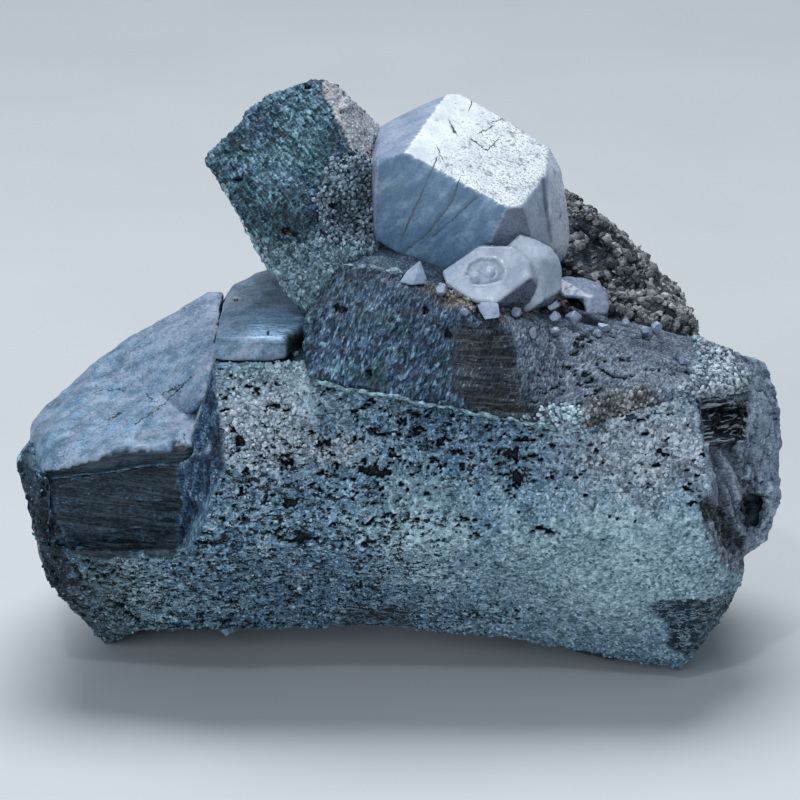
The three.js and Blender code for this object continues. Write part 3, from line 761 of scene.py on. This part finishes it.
def front_pits(places, view, pitty, lower, few):
    """1 in the pits of the crust. They look flatter on the lower facet, and are rare where few is 1."""
    across, up = looks(places)
    flat = np.stack([across, up, 0 * across], axis=1)
    upper_spots = rough(stretched(flat, (1, 0, 0), 1.8), 0.62, 21, 4, 0.72)
    lower_spots = rough(stretched(flat, (1, 0, 0), 2.8), 0.44, 22, 4, 0.72)
    spots = upper_spots + (lower_spots - upper_spots) * lower + 0.13 * pitty - 0.18 * few
    deep = patches(view, DEEP_PITS) + 0.5 * rough(flat, 0.8, 25, 4, 0.75)
    return np.maximum(fade(spots, 0.56, 0.64), fade(deep, 0.55, 0.65))


def main_front():
    """The crusted front with the recess, the wall beside it and the broken end."""
    shape = dense("hornblende_main_block", FRONT_VOXEL)
    outer = shape.spread(facing_front(shape), 1)
    shape, used = shape.only(shape.spread(outer, 2))
    hem = 1 - outer[used]
    places = shape.corners
    view = shape.look(0.5, 1.5, 11)
    across, up = view
    on = front_regions(shape, view)
    lower = fade(-up, 12, 15)
    few = fade(across, 6, 22) * lower
    pitty = np.maximum(patches(view, PITTED_PATCHES), lower * fade(-across, -16, 0) * 0.9)
    pit = front_pits(places, view, pitty, lower, few) * on.crusted
    crack = fade(beside(view, FRONT_CRACK) + 0.2 * rough(places, 0.8, 27), 0.4, 0.15) * on.front
    # The hollow and pockets of the broken end are sunk, and painted darker as painted shade.
    hollow = fade(1.1 - beside(view, END_HOLLOW) + 0.5 * rough(places, 1.6, 29, 4), 0, 0.35)
    pockets = fade(patches(view, END_POCKETS) + 0.5 * rough(places, 1.1, 30, 4, 0.7), 0.5, 0.65)
    hollow = np.maximum(hollow, pockets) * on.end
    beige = clamp(1.45 * patches(view, BEIGE_PATCHES) * (1 + 0.6 * rough(places, 2.2, 31)))

    near, number = clumps(places, 0.5, 61)
    big_near, big_number = clumps(places, 0.68, 65)
    near += (big_near - near) * beige
    number += (big_number - number) * beige
    layers = rough(stretched(stretched(places, (1, 0, -0.06), 9), (0, 1, 0), 3), 0.5, 41)
    steep = rough(stretched(places, (0.4, 0.2, -1), 3), 0.8, 43)
    shard = clumps(stretched(places, (0.3, 0.3, 1), 2.5), 0.6, 45)[1] - 0.5
    cracked = fade(np.abs(rough(stretched(places, (0.2, 0.1, 1), 1.6), 2.4, 68)), 0.14, 0.03)
    flake = clumps(stretched(places, (0.1, 0.2, 1), 1.5), 2.6, 69)[1] - 0.5
    relief = on.crusted * (0.24 * (0.5 - near) * (1 + beige) + 0.14 * rough(places, 1.6, 47, 4, 0.75))
    relief += on.recess * 0.1 * layers + on.wall * 0.25 * shard + on.layered * 0.5 * layers
    relief += on.slab * (0.5 * flake + 0.25 * steep - 0.2 * cracked)
    relief += on.end * 0.12 * rough(places, 0.9, 50, 3, 0.7)
    relief += on.rock * 0.45 * steep + on.bare * 0.3 * rough(places, 1.2, 49) + on.rim * 0.35 * shard
    shape.push(swell(places) + relief - 0.6 * pit - 0.7 * crack - 0.45 * hollow - 0.9 * hem)

    # Between the grains, far from a grain's middle, the tone is darker: the dark stone there, and painted
    # shade in the crevices.
    tone = 0.52 + 0.6 * (number - 0.5) + 0.26 * rough(places, 1.9, 51, 4, 0.7) - 0.3 * fade(near, 0.5, 0.8)
    striped = 0.24 + 0.36 * layers * (1 + 0.5 * rough(places, 2.5, 53))
    striped += 0.24 * rough(places, 0.6, 55, 3, 0.7)
    # Painted shadow: darker under the plate and in the ledge corner.
    striped -= 0.2 * patches(view, RECESS_SHADOWS)
    broken = 0.4 + 0.5 * shard + 0.24 * rough(places, 1.4, 57, 4)
    rocky = 0.44 + 0.55 * steep + 0.25 * rough(places, 0.8, 62, 3, 0.7)
    mottled = 0.56 + 0.4 * rough(places, 1.2, 63, 4, 0.75) + 0.3 * flake - 0.35 * cracked
    tone = np.where(on.recess + on.bare > 0, striped + 0.1 * on.bare, tone)
    tone = np.where(on.wall + on.rim > 0.3, broken - 0.17 * on.rim, tone)
    tone = np.where(on.rock > 0, rocky, tone)
    tone = np.where(on.slab > 0, mottled, tone)
    tone = np.where(on.layered > 0, 0.2 + 0.5 * layers, tone)
    edges = drawn((across + 0.35 * rough(places, 1.1, 64), up), END_EDGES, 0.3, 0.06) * on.end
    # Painted shade: the hollow and pockets are darker.
    tone += 0.55 * edges - (0.3 - 0.5 * rough(places, 0.7, 70, 3, 0.7)) * hollow
    # The lower facet, which faces down, is made lighter: painted light.
    tone += (0.17 * patches(view, PALE_PATCHES) + 0.03 + 0.09 * lower * (1 - few)) * on.crusted
    crust_marks = {
        "beige": beige, "dark": on.rim, "pitty": (0.3 + pitty - 0.5 * few) * on.crusted,
        "green": clamp(patches(view, GREEN_PATCHES) + 0.4 * fade(rough(places, 3.4, 66), 0, 0.6)),
    }
    shape.marks = crust_marks | {
        "tone": clamp(tone), "pit": np.maximum(pit, crack), "wall": shape.even(on.wall, 3), "slab": on.slab,
        "recess": shape.even(np.maximum(on.recess, on.bare), 1), "violet": shape.even(on.end, 2),
        # The hollow takes the soot colours too: painted shade.
        "layered": np.maximum(on.layered, 0.85 * hollow),
        "layers": on.layered + 0.06 * on.recess + 0.15 * on.slab,
        "veins": on.bare + 0.35 * on.rock + 0.3 * on.slab + 0.08 * on.recess,
    }
    cover = on.crusted * (1 - fade(pit, 0.1, 0.4)) * (1 - 0.9 * on.rim)
    upper = cover * (up > FACET_EDGE) * 0.8
    crust("crust_upper_front", shape, upper, 0.5, 0.21 + 0.06 * beige, 101, crust_marks, rings=SHARP_RINGS)
    below = cover * (up <= FACET_EDGE) * 0.7
    crust("crust_lower_front", shape, below, 0.58, 0.22, 102, crust_marks, rings=SHARP_RINGS)
    crust("crust_beige_front", shape, cover * 0.7 * fade(beige, 0.35, 0.7), 0.95, 0.28, 104, crust_marks)
    piece("main_block_front", shape, FRONT, "crusted_hornblende", flat=True)


def main_rest():
    """The sides, back, top and underside, sunk behind the crusted front."""
    shape = dense("hornblende_main_block", REST_VOXEL)
    places = shape.corners
    turned = facing_front(shape)
    behind = 1 - shape.spread(turned, 1)
    sunk = 1 - shape.spread(1 - turned, 1)
    layers = rough(stretched(places, (1, 0.05, 0), 7), 0.9, 41)
    block = clumps(places, 7.5, 5)[1] - 0.5
    shape.push(swell(places) + behind * (0.25 * layers + 0.9 * block) - 1.3 * sunk)
    patchy = rough(places, 7, 61, 4)
    pocket = sunk * (places[:, 0] > END_START)
    tone = clamp(0.4 + 0.25 * layers + 0.3 * rough(places, 1.4, 65) - 0.2 * pocket)
    green = fade(patchy, -0.1, 0.4) * 0.8 * (1 - pocket)
    shape.marks = {"tone": tone, "green": green}
    cover = behind * fade(patchy, 0, 0.45) * (places[:, 2] > 4)
    crust("crust_back_patches", shape, cover, 1.1, 0.55, 103, {"green": green})
    piece("main_block_rest", shape, REST, "crusted_hornblende", "hornblende_main_block")


# The pale plates.

PLATE_CRACK = [(-26.2, 2.7), (-27.6, 1.4), (-29.4, -0.4), (-31, -1.6), (-33, -3)]
PLATE_CRACKS = [
    PLATE_CRACK, [(-30.2, -0.2), (-29.6, 0.8), (-27.4, 1.9)], [(-36.4, -2.6), (-35.4, -1.8), (-34.6, -1.5)],
    [(-37.4, 1.2), (-35.4, 1.4), (-34.6, 1.1)], [(-31.6, 0.7), (-31, 0)], [(-26.9, -4.4), (-26.7, -6.3)],
]
# Outline of painted shadow: the left plate's front below it is painted as the shade under the plate.
PLATE_SHADOW = [
    (-48, -8.6), (-44.8, -9.1), (-39.8, -8.1), (-37.1, -7.1), (-34.8, -6.3), (-28.4, -6.3), (-28.1, -5),
    (-26.4, -6.1), (-25.4, -3.6), (-24.9, -1.4), (-20, -1.4), (-20, -14), (-48, -14),
]
PLATE_JOINT = [(-22.1, 13), (-22.4, 10), (-23, 7)]
PLATE_SPOTS = [
    (-20.6, 12.6, 0.35, 0.2), (-19.6, 12.5, 0.3, 0.2), (-17.4, 12, 0.4, 0.2), (-16.5, 8.5, 0.3, 0.25),
]


def plate_left():
    shape = dense("pale_plate_left", PLATE_VOXEL, rounds=1)
    places = shape.corners
    view = shape.look(0.2, 1.2, 201)
    across, up = view
    front = shape.normals() @ TOWARDS > 0.1
    steps = rough(stretched(places, (1, 0.6, 0.45), 1.6), 6.5, 211, 4) * 2.2
    flakes = (fade(steps - np.floor(steps), 0.0, 0.15) + np.floor(steps)) * 0.13
    ridge = fade(beside(view, PLATE_CRACK), 3, 0.4) * fade(up - 1.2 * across, 34, 35.4) * 0.4
    crack = drawn(view, [PLATE_CRACK], 0.5, 0.1) * front
    joint = fade(beside(view, PLATE_JOINT), 0.4, 0.15)
    amount = flakes + ridge * front + 0.22 * rough(places, 4, 218) + 0.07 * rough(places, 0.9, 219)
    # Painted shadow: the front below this outline is painted near-black and sunk a little.
    under = inside(view, PLATE_SHADOW) * front
    shape.push(amount + 0.1 - 0.15 * crack - 0.25 * under)
    shape.marks = {"white": fade(up, 2, 10) * 0.6, "pit": 0.9 * joint, "under": under}
    shape.marks |= line_marks(looks(shape.corners), PLATE_CRACKS)
    shape.marks["near"] *= front
    piece("pale_plate_left_flaky", shape, PLATE, "pale_plate", "pale_plate_left")


def plate_right():
    shape = dense("pale_plate_right", PLATE_VOXEL, rounds=1)
    places = shape.corners
    view = shape.look(0.25, 1.2, 231)
    across, up = view
    bands = rough(stretched(places, (1, 0, 0), 8), 0.7, 241)
    # The striated band of the right plate, which also carries a painted sheen.
    banded = fade(up, 7, 7.6) * fade(-up, -12.4, -9.5) * fade(across, -20, -17)
    # olive is painted shade: the right end of the plate, darkened where the upper crystal shades it.
    olive = fade(across, -14.7, -14.1) * fade(-up, -9, -7.8)
    spots = fade(patches(view, PLATE_SPOTS) + 0.3 * rough(places, 0.7, 243), 0.5, 0.65)
    shape.push(0.1 + 0.14 * bands + 0.14 * rough(places, 2, 245) - 0.3 * spots)
    shape.marks = {
        "white": fade(up, 9, 13) * 0.6, "banded": banded * 0.85, "olive": olive, "pit": spots * 0.8,
    }
    piece("pale_plate_right_striated", shape, PLATE, "pale_plate", "pale_plate_right")


# The leaning crystal at the upper left.

CREAM_SHOULDER = [
    (-10, 39.6), (-8, 40.6), (-5.6, 38), (-3, 35.6), (-1.6, 33), (-2, 29.6), (-4, 30.4), (-6.3, 31.4),
    (-8, 35),
]
OLIVE_SIDE = [(-8.4, 31), (-6.3, 30.6), (-2.6, 31), (-2, 20), (-3, 17), (-10.4, 17.4), (-9.8, 22), (-11, 25)]
UPPER_FOOT = [
    (-18.4, 20.4), (-15, 20), (-12, 19.6), (-10.6, 21.6), (-9, 19), (-3, 19.6), (-2, 17), (-12, 9),
    (-19, 17),
]
UPPER_PITS = [(-14.1, 21, 0.8, 0.6), (-8.7, 24.2, 0.7, 1), (-20, 27.5, 1, 0.5), (-12, 39, 0.5, 0.4)]
UPPER_TEAL = [(-12.5, 35, 5, 4), (-17, 30, 4, 3)]
UPPER_NAVY = [(-14, 22.6, 6, 2.4), (-7.6, 35, 1.4, 3)]
# Line of a painted highlight along the upper left edge.
UPPER_EDGE_HIGHLIGHT = [(-24.4, 29.6), (-19.6, 36.4), (-14, 38.8), (-10.4, 39.6)]
SHOULDER_SPOTS = [
    (-9.4, 38.4, 0.5, 0.6), (-7.6, 36.2, 0.5, 0.5), (-4.6, 33.6, 0.6, 0.4), (-3.4, 31, 0.4, 0.6),
]
SHOULDER_BALL = [(-7.2, 37.1), (-7, 37.1)]
UPPER_RIM = [
    (-24.2, 29.6, -9.6), (-22.6, 27.4, -10.4), (-21.2, 24.8, -11.2), (-19.6, 22, -12), (-18.3, 19.8, -12.6),
    (-17.2, 17.7, -13), (-15.9, 15.9, -13.6),
]


def flaked(places, direction, factor, size, seed):
    """Tone and relief of stone broken into flakes that run long one way."""
    near, number = clumps(stretched(places, direction, factor), size, seed)
    relief = 0.32 * (number - 0.5) + 0.12 * rough(places, 0.8, seed + 5)
    # Far from a flake's middle, between the flakes, the tone is darker: painted shade in the cracks between
    # them.
    tone = 0.435 + 0.68 * (number - 0.5) + 0.24 * rough(places, 4, seed + 6) - 0.3 * fade(near, 0.55, 0.8)
    return tone, relief


def upper_crystal():
    shape = dense("hornblende_upper_crystal", UPPER_VOXEL)
    view = shape.look(0.6, 1.4, 301)
    places = shape.corners
    front = shape.normals() @ TOWARDS > 0.05
    cream = inside(view, CREAM_SHOULDER)
    foot = np.maximum(inside(view, UPPER_FOOT), view[1] < 18) * (1 - cream)
    olive = inside(view, OLIVE_SIDE) * (1 - cream) * (1 - foot)
    teal = patches(view, UPPER_TEAL)
    pit = fade(patches(view, UPPER_PITS) + 0.3 * rough(places, 0.8, 311), 0.55, 0.65) * front
    spots = fade(patches(view, SHOULDER_SPOTS) + 0.3 * rough(places, 0.7, 329), 0.5, 0.7) * cream
    ball = drawn(view, [SHOULDER_BALL], 0.9, 0.1) * cream
    tone, relief = flaked(places, UPPER_FIBRE, 2, 0.36, 321)
    relief = relief * (1 - cream) + 0.22 * rough(places, 4, 328) + 0.08 * cream * rough(places, 0.6, 326)
    shape.push(relief + 0.5 * ball - 0.5 * pit)
    tone += 0.18 * teal - 0.12 * patches(view, UPPER_NAVY)
    # Painted highlight: lighter along the upper left edge.
    tone += 0.3 * fade(beside(view, UPPER_EDGE_HIGHLIGHT), 1.2, 0.2)
    tone = np.where(cream > 0, 0.72 + 0.15 * rough(places, 0.8, 330) + 0.25 * ball - 0.6 * spots, tone)
    green = foot * 0.75
    shape.marks = {
        "tone": clamp(tone), "cream": cream, "pit": pit, "green": green, "dark": olive,
        "teal": clamp(fade(rough(places, 3.5, 333), -0.5, 0.4) + teal),
    }
    cover = np.maximum(foot, olive * 0.95) * (1 - pit) * fade(rough(places, 1.1, 334, 3, 0.7), -0.9, -0.55)
    marks = {"green": green, "dark": np.maximum(olive * 0.5, foot * 0.42), "beige": olive * 0.7}
    crust("crust_upper_crystal", shape, cover, 0.47, 0.28, 331, marks)
    marks = {"beige": 1 - spots, "brown": spots}
    crust("crust_shoulder", shape, cream * 0.6, 0.46, 0.19, 335, marks, rings=SHARP_RINGS, lift=0.0)
    piece("upper_crystal_fibrous", shape, UPPER_STONE, "hornblende", "hornblende_upper_crystal", flat=True)
    strip("rim_upper_crystal", UPPER_RIM, 0.18, 0.26, 341)


# The middle block.

LAYERED_FRONT = [
    (7, 9.4), (9.6, 9.8), (13.4, 9.2), (14.6, 4), (17, -1.4), (20.4, -3.4), (7.8, -1.6), (6.9, 3),
]
VIOLET_FRONT = [(13, 10.4), (22, 9.6), (26, 8.4), (25, 2), (24, -2), (19.6, -4), (14.6, -2.8), (13.4, 4)]
LEDGE_PATCH = [(3, 14.4), (9, 14.8), (20, 13.4), (22, 10.6), (12, 10.2), (9, 10.6), (4, 13.2)]
LOWER_CRUST = [(16, -1.2), (20, -0.6), (27, 1.4), (32, 1), (32, -3), (20, -4.4), (14, -2.6)]
MIDDLE_PITS = [(3.4, 11.6, 0.5, 0.7), (-7.6, 11.6, 1, 1.2), (-3.6, 3.4, 0.4, 0.4), (6.4, 8, 0.4, 0.8)]
# Lines of painted shadow where the terrace meets the crust.
TERRACE_SHADOW_LINES = [
    [(24, 4.4), (27, 3.4), (29, 3.3)], [(31, 4.2), (33.4, 4), (36, 3.4)], [(17, 1.4), (19, 1.2), (21, 1.5)],
]
MIDDLE_RIM = [
    (-11.3, 2.6, -20.4), (-8, 1.8, -21), (-4, 1, -21.8), (0, 0.2, -22.4), (5.6, -0.9, -23), (9, -1.6, -23),
    (12.4, -2.3, -23), (16, -2.8, -22.6), (20.2, -3.5, -22),
]
LEDGE_RIM = [
    (-7.4, 17.1, -14.4), (-4, 16.7, -14.9), (0, 16.1, -15.4), (2.4, 15.3, -16.3), (4.6, 14.4, -17.3),
]


def middle_block():
    shape = dense("hornblende_middle_block", MIDDLE_VOXEL)
    view = shape.look(0.9, 1.6, 401)
    across, up = view
    places = shape.corners
    normals = shape.normals()
    facing = normals @ TOWARDS
    front = (facing > 0.05) * (normals[:, 1] < -0.3)
    top = fade(normals[:, 2], 0.4, 0.7)
    layered = inside(view, LAYERED_FRONT) * front
    violet = np.maximum(inside(view, VIOLET_FRONT), across > 20) * (1 - layered)
    ledge = inside(view, LEDGE_PATCH) * (facing > 0)
    corner_crust = clamp(fade(across, 36.5, 38) * (up > 2.6) + fade(across, 33, 36) * (up < 2.4))
    skirt = inside(view, LOWER_CRUST) * (facing > -0.4)
    pit = fade(patches(view, MIDDLE_PITS) + 0.3 * rough(places, 0.8, 421, 4, 0.7), 0.55, 0.65) * front
    split = rough(stretched(places, (1, 0, -0.12), 6), 1.3, 423, 4)
    split = fade(np.abs(split), 0.08, 0.03) * fade(across, 12, 20) * fade(rough(places, 3, 424), -0.1, 0.3)
    # Splits and pits are painted dark, and the terrace lines are painted shadow.
    pit = np.maximum(pit, np.maximum(split, drawn(view, TERRACE_SHADOW_LINES, 0.2, 0.06)) * (facing > 0) * 0.9)
    layers = rough(stretched(places, (1, 0, -0.1), 6), 0.55, 415)
    plane = rough(stretched(places, (1, 0, -0.15), 3.5), 1.6, 419, 4)
    soft = shape.even(layered, 5)
    soft_violet = shape.even(violet, 6)
    tone, relief = flaked(places, MIDDLE_FIBRE, 2.2, 0.4, 411)
    slant_tone, slant_relief = flaked(places, (0.5, 0.2, -0.8), 2.4, 0.42, 417)
    relief += (0.3 * layers - relief) * soft + (0.7 * slant_relief - relief) * soft_violet
    shape.push(relief * (1 - 0.5 * top) + 0.25 * rough(places, 4.5, 431) + 0.2 * top * plane - 0.45 * pit)
    tone += (0.26 + 0.4 * layers - tone) * soft + (slant_tone + 0.04 - tone) * soft_violet
    tone += top * (0.37 + 0.35 * plane + 0.15 * rough(places, 0.6, 434) - tone) * 0.8
    brown = shape.even(clamp(ledge * (across > 3) + 0.8 * skirt * (across > 23)), 2)
    shape.marks = {
        "tone": clamp(tone), "layered": soft, "violet": clamp(soft_violet + 0.5 * top), "pit": pit,
        "brown": brown,
        "teal": fade(rough(places, 3, 436), -0.1, 0.6) * (across < 6),
        "layers": 0.08 * soft + 0.05 * soft_violet, "veins": 0.2 * soft_violet,
    }
    crumbs = ledge * (rough(places, 1.3, 441) > -0.15)
    cover = clamp(crumbs + corner_crust * (facing > -0.2) + skirt * 0.9)
    beige = clamp(0.3 * ledge + corner_crust + 0.3 * skirt)
    marks = {"beige": beige, "green": 0.7 * skirt * (across < 23), "brown": brown}
    crust("crust_ledge", shape, cover, 0.56, 0.32, 445, marks)
    piece("middle_block_fibrous", shape, MIDDLE_STONE, "hornblende", "hornblende_middle_block", flat=True)
    strip("rim_middle_block", MIDDLE_RIM, 0.17, 0.26, 451)
    strip("rim_ledge", LEDGE_RIM, 0.2, 0.3, 455)


def back_block():
    shape = dense("hornblende_back_block", BACK_VOXEL)
    places = shape.corners
    shape.push(0.4 * rough(places, 3, 515, 4) + 0.9 * (clumps(places, 2.4, 511)[1] - 0.5))
    patchy = rough(stretched(places, (1, 0.2, -0.8), 2), 2.4, 521) - 0.5 * fade(places[:, 2], 60, 66)
    cover = fade(patchy, -0.3, 0.1)
    shape.marks = {"tone": clamp(0.4 + 0.4 * rough(places, 1, 523)), "beige": 0.5 * cover}
    marks = {"beige": cover, "brown": np.full(len(places), 0.75)}
    size = 0.54 + 0.14 * waves(places, 1.6, 524)
    crust("crust_back_block", shape, cover * 0.9, 0.72, size, 525, marks, tilt=0.7)
    piece("back_block_rough", shape, BACK_STONE, "hornblende", "hornblende_back_block", flat=True)


# The apatite crystals.

BLUE_FACE = [(-2.6, 30), (0.8, 31), (13.2, 24.1), (11.2, 19.6), (4.7, 15.4), (-3.2, 20)]
WHITE_FACE = [(0.6, 30.9), (6, 38.6), (8.5, 38.6), (18.6, 31.8), (18.2, 28), (15, 24), (13.2, 24)]
# The face right of the blue face, which turns from the light; it is given painted shade.
SHADED_FACE = [(13.4, 24), (15.4, 24), (16.4, 20.6), (11.2, 19.4)]
TOP_CRACKS = [
    [(8.9, 32.6), (10.9, 31.2), (12.2, 32.6)], [(10, 33.4), (11.6, 34.2)], [(11.5, 34.7), (13.2, 35.4)],
    [(4.7, 31.4), (5.3, 30.2)], [(8.4, 38.4), (9, 37.2), (8.7, 36.4)], [(6.2, 34.8), (7, 33.3)],
]
TOP_SLIT = [(6.5, 34.3), (6.9, 33.5)]
SLAB_GROOVE = [(17.9, 27.6), (18.2, 25), (18.6, 22.4), (18.9, 19.8)]
STREAKS = [
    [(4.6, 30.2), (2.8, 26), (1.6, 23.4), (0.4, 20.6)], [(7.4, 27.4), (6.4, 24.6), (3.6, 21), (0.6, 18.6)],
    [(9.6, 25.4), (7, 23), (4, 20.4)],
]
TWIN_RING = [
    (8.7, 16.9), (10, 17.7), (12, 17.5), (13, 16.4), (12.6, 15), (10.6, 14.4), (9, 14.6), (8.2, 15.6),
    (8.7, 16.9),
]
TWIN_LUMPS = [(11.1, 15.8, 1, 0.85), (9.3, 15.4, 0.7, 0.55)]
GRANULE_GREYS = (0.1, 0.22, 0.34, 0.46)
APATITE_NODE = "hydroxylapatite_"


def large_crystal():
    shape = dense("hydroxylapatite_large_crystal", LARGE_VOXEL, rounds=2)
    places = shape.corners
    view = shape.look(0.06, 0.9, 601)
    across, up = view
    normals = shape.normals()
    facing = normals @ TOWARDS > 0
    top = inside(view, WHITE_FACE) * facing * fade(normals[:, 2], 0.45, 0.75)
    # The blue face turns slightly down; its darker blue is a blue tint with painted shade.
    blue = inside(view, BLUE_FACE) * facing * (1 - top)
    # Painted shade on the face that turns from the light.
    grey = inside(view, SHADED_FACE) * facing * (1 - top)
    slab = fade(across, 18.2, 18.8) * facing
    crack = drawn(view, [TOP_SLIT], 0.22, 0.04) * top
    crack = np.maximum(crack, drawn(view, [SLAB_GROOVE], 0.42, 0.06) * 0.6 * facing)
    shaken = (across + 0.3 * rough(places, 1.4, 605), up)
    streak = drawn(shaken, STREAKS, 0.36, 0.08) * blue * fade(rough(places, 2.2, 607), -0.7, 0.3) * 0.4
    # There are fewer dark specks and pits toward the upper left of the top, where it is lit brightest:
    # painted light.
    dotted = fade(across * 0.5 - up * 0.5, -15, -10)
    pit = fade(rough(places, 0.6, 611), 0.75 - 0.3 * dotted, 0.95 - 0.3 * dotted) * top
    pit = np.maximum(pit, fade(rough(places, 1.1, 615), 0.6, 0.8) * slab)
    amount = 0.035 * rough(places, 2.4, 621) + 0.06 * rough(places, 0.9, 625) * slab
    shape.push(amount - 0.1 * pit - 0.12 * crack)
    shape.marks = {
        "white": np.maximum(top, 0.42 * slab), "blue": blue, "streak": streak, "grey": grey * 0.7,
        "pit": pit * 0.6, "crack": crack, "dotted": 0.15 + 0.85 * dotted,
    }
    shape.marks |= line_marks(looks(places), TOP_CRACKS + STREAKS)
    shape.marks["near"] *= facing * (top + 0.7 * blue)
    piece("large_crystal_milky", shape, APATITE, "apatite", "hydroxylapatite_large_crystal")


def twin_crystals():
    shape = dense("hydroxylapatite_twin_crystals", TWIN_VOXEL, rounds=2)
    view = shape.look(0.12, 0.8, 701)
    normals = shape.normals()
    face = (normals @ TOWARDS > 0.6) * (view[0] < 14)
    hollow = inside(view, TWIN_RING) * face
    lumps = patches(view, TWIN_LUMPS)
    ring = drawn(view, [TWIN_RING], 0.35, 0.05) * face
    shape.push(0.05 * rough(shape.corners, 1.8, 705) + hollow * (0.5 * lumps - 0.25) - 0.05 * ring)
    # Faces that turn down and right get painted shade, as do the ring groove and the hollow beside its
    # lumps; the other faces get a little painted light as white.
    low = fade(-normals[:, 2], -0.15, 0.25) * fade(normals[:, 0], -0.1, 0.3)
    grey = clamp(0.95 * low + 0.12 * ring + 0.25 * hollow * (lumps < 0.35))
    shape.marks = {"grey": grey, "white": 0.22 * (1 - low)}
    piece("twin_crystals_milky", shape, APATITE, "apatite", "hydroxylapatite_twin_crystals")


def small_crystal(kind, voxel, seed, grey=0.0, cuts=0, relief=0.05, grow=SEAM):
    """A small crystal, with this many facets cut on it, a share of grey in its colour, and painted shade on
    faces that turn down.
    """
    node = APATITE_NODE + kind
    shape = dense(node, voxel, grow, rounds=1)
    rng = np.random.default_rng(seed)
    for direction in rng.normal(size=(cuts, 3)):
        direction = unit(direction)
        height = shape.corners @ direction
        over = np.maximum(height - (height.max() - 0.22 * np.ptp(height)), 0)
        shape.corners = shape.corners - over[:, None] * direction
    shape.push(relief * rough(shape.corners, 0.9, seed))
    # Faces that turn down get painted shade.
    low = fade(-shape.normals()[:, 2], -0.1, 0.4)
    shape.marks = {"grey": clamp(grey + 0.5 * low)}
    piece(kind + "_milky", shape, APATITE, "apatite", node)


def small_crystals():
    small_crystal("side_crystal", TWIN_VOXEL, 711, grey=0.45, relief=0.1)
    small_crystal("chip", SMALL_VOXEL, 721, grow=SMALL_SEAM)
    small_crystal("small_block", SMALL_VOXEL, 731, cuts=7, grow=SMALL_SEAM)
    granules = sorted(node.removeprefix(APATITE_NODE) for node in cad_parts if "granule" in node)
    for index, granule in enumerate(granules):
        grey = GRANULE_GREYS[index % len(GRANULE_GREYS)]
        small_crystal(granule, SMALL_VOXEL, 741 + index, grey=grey, cuts=7, grow=GRANULE_SEAM)


# Floor, lights and camera.

FLOOR_HALF = 1.5
LIT_PLACE = Vector((0, 0, 0.035))


def stage():
    mesh = bpy.data.meshes.new("floor")
    corners = [(x * FLOOR_HALF, y * FLOOR_HALF, 0) for x, y in ((-1, -1), (1, -1), (1, 1), (-1, 1))]
    mesh.from_pydata(corners, [], [(0, 1, 2, 3)])
    floor = placed("floor", mesh)
    look = Look("pale floor", 0.6)
    look.colour = look.ramp(look.noise(60, detail=2), (0.3, (0.6, 0.61, 0.62)), (0.7, (0.64, 0.65, 0.66)))
    mesh.materials.append(look.finish())
    world = bpy.data.worlds.new("studio")
    bpy.context.scene.world = world
    world.use_nodes = True
    background = world.node_tree.nodes["Background"]
    background.inputs["Color"].default_value = (0.7, 0.84, 1.0, 1)
    background.inputs["Strength"].default_value = 0.24
    bpy.context.scene.view_settings.view_transform = "Standard"


def light(name, place, size, power, colour):
    lamp = bpy.data.lights.new(name, "AREA")
    lamp.shape = "DISK"
    lamp.size = size
    lamp.energy = power
    lamp.color = colour
    made = placed(name, lamp)
    made.location = place
    made.rotation_euler = (LIT_PLACE - Vector(place)).to_track_quat("-Z", "Y").to_euler()


def camera():
    data = bpy.data.cameras.new("camera")
    data.sensor_width = SENSOR_WIDTH
    data.lens = SENSOR_WIDTH * SIGHT_DISTANCE / VIEW_WIDTH
    data.clip_start = 0.01
    data.clip_end = 10
    made = placed("camera", data)
    made.location = Vector(sighted(0, 0, 0) + TOWARDS * SIGHT_DISTANCE) * MM
    made.rotation_euler = (math.pi / 2 - SIGHT_TILT, 0, 0)
    bpy.context.scene.camera = made


stage()
camera()
light("key", (-0.02, 0.1, 0.62), 0.4, 3.4, (0.92, 0.97, 1.0))
light("front fill", (-0.3, -0.62, 0.28), 0.5, 1.9, (0.85, 0.94, 1.0))
light("sparkle", (-0.1, -0.5, 0.62), 0.04, 0.7, (0.95, 0.98, 1.0))

main_front()
main_rest()
plate_left()
plate_right()
upper_crystal()
middle_block()
back_block()
large_crystal()
twin_crystals()
small_crystals()
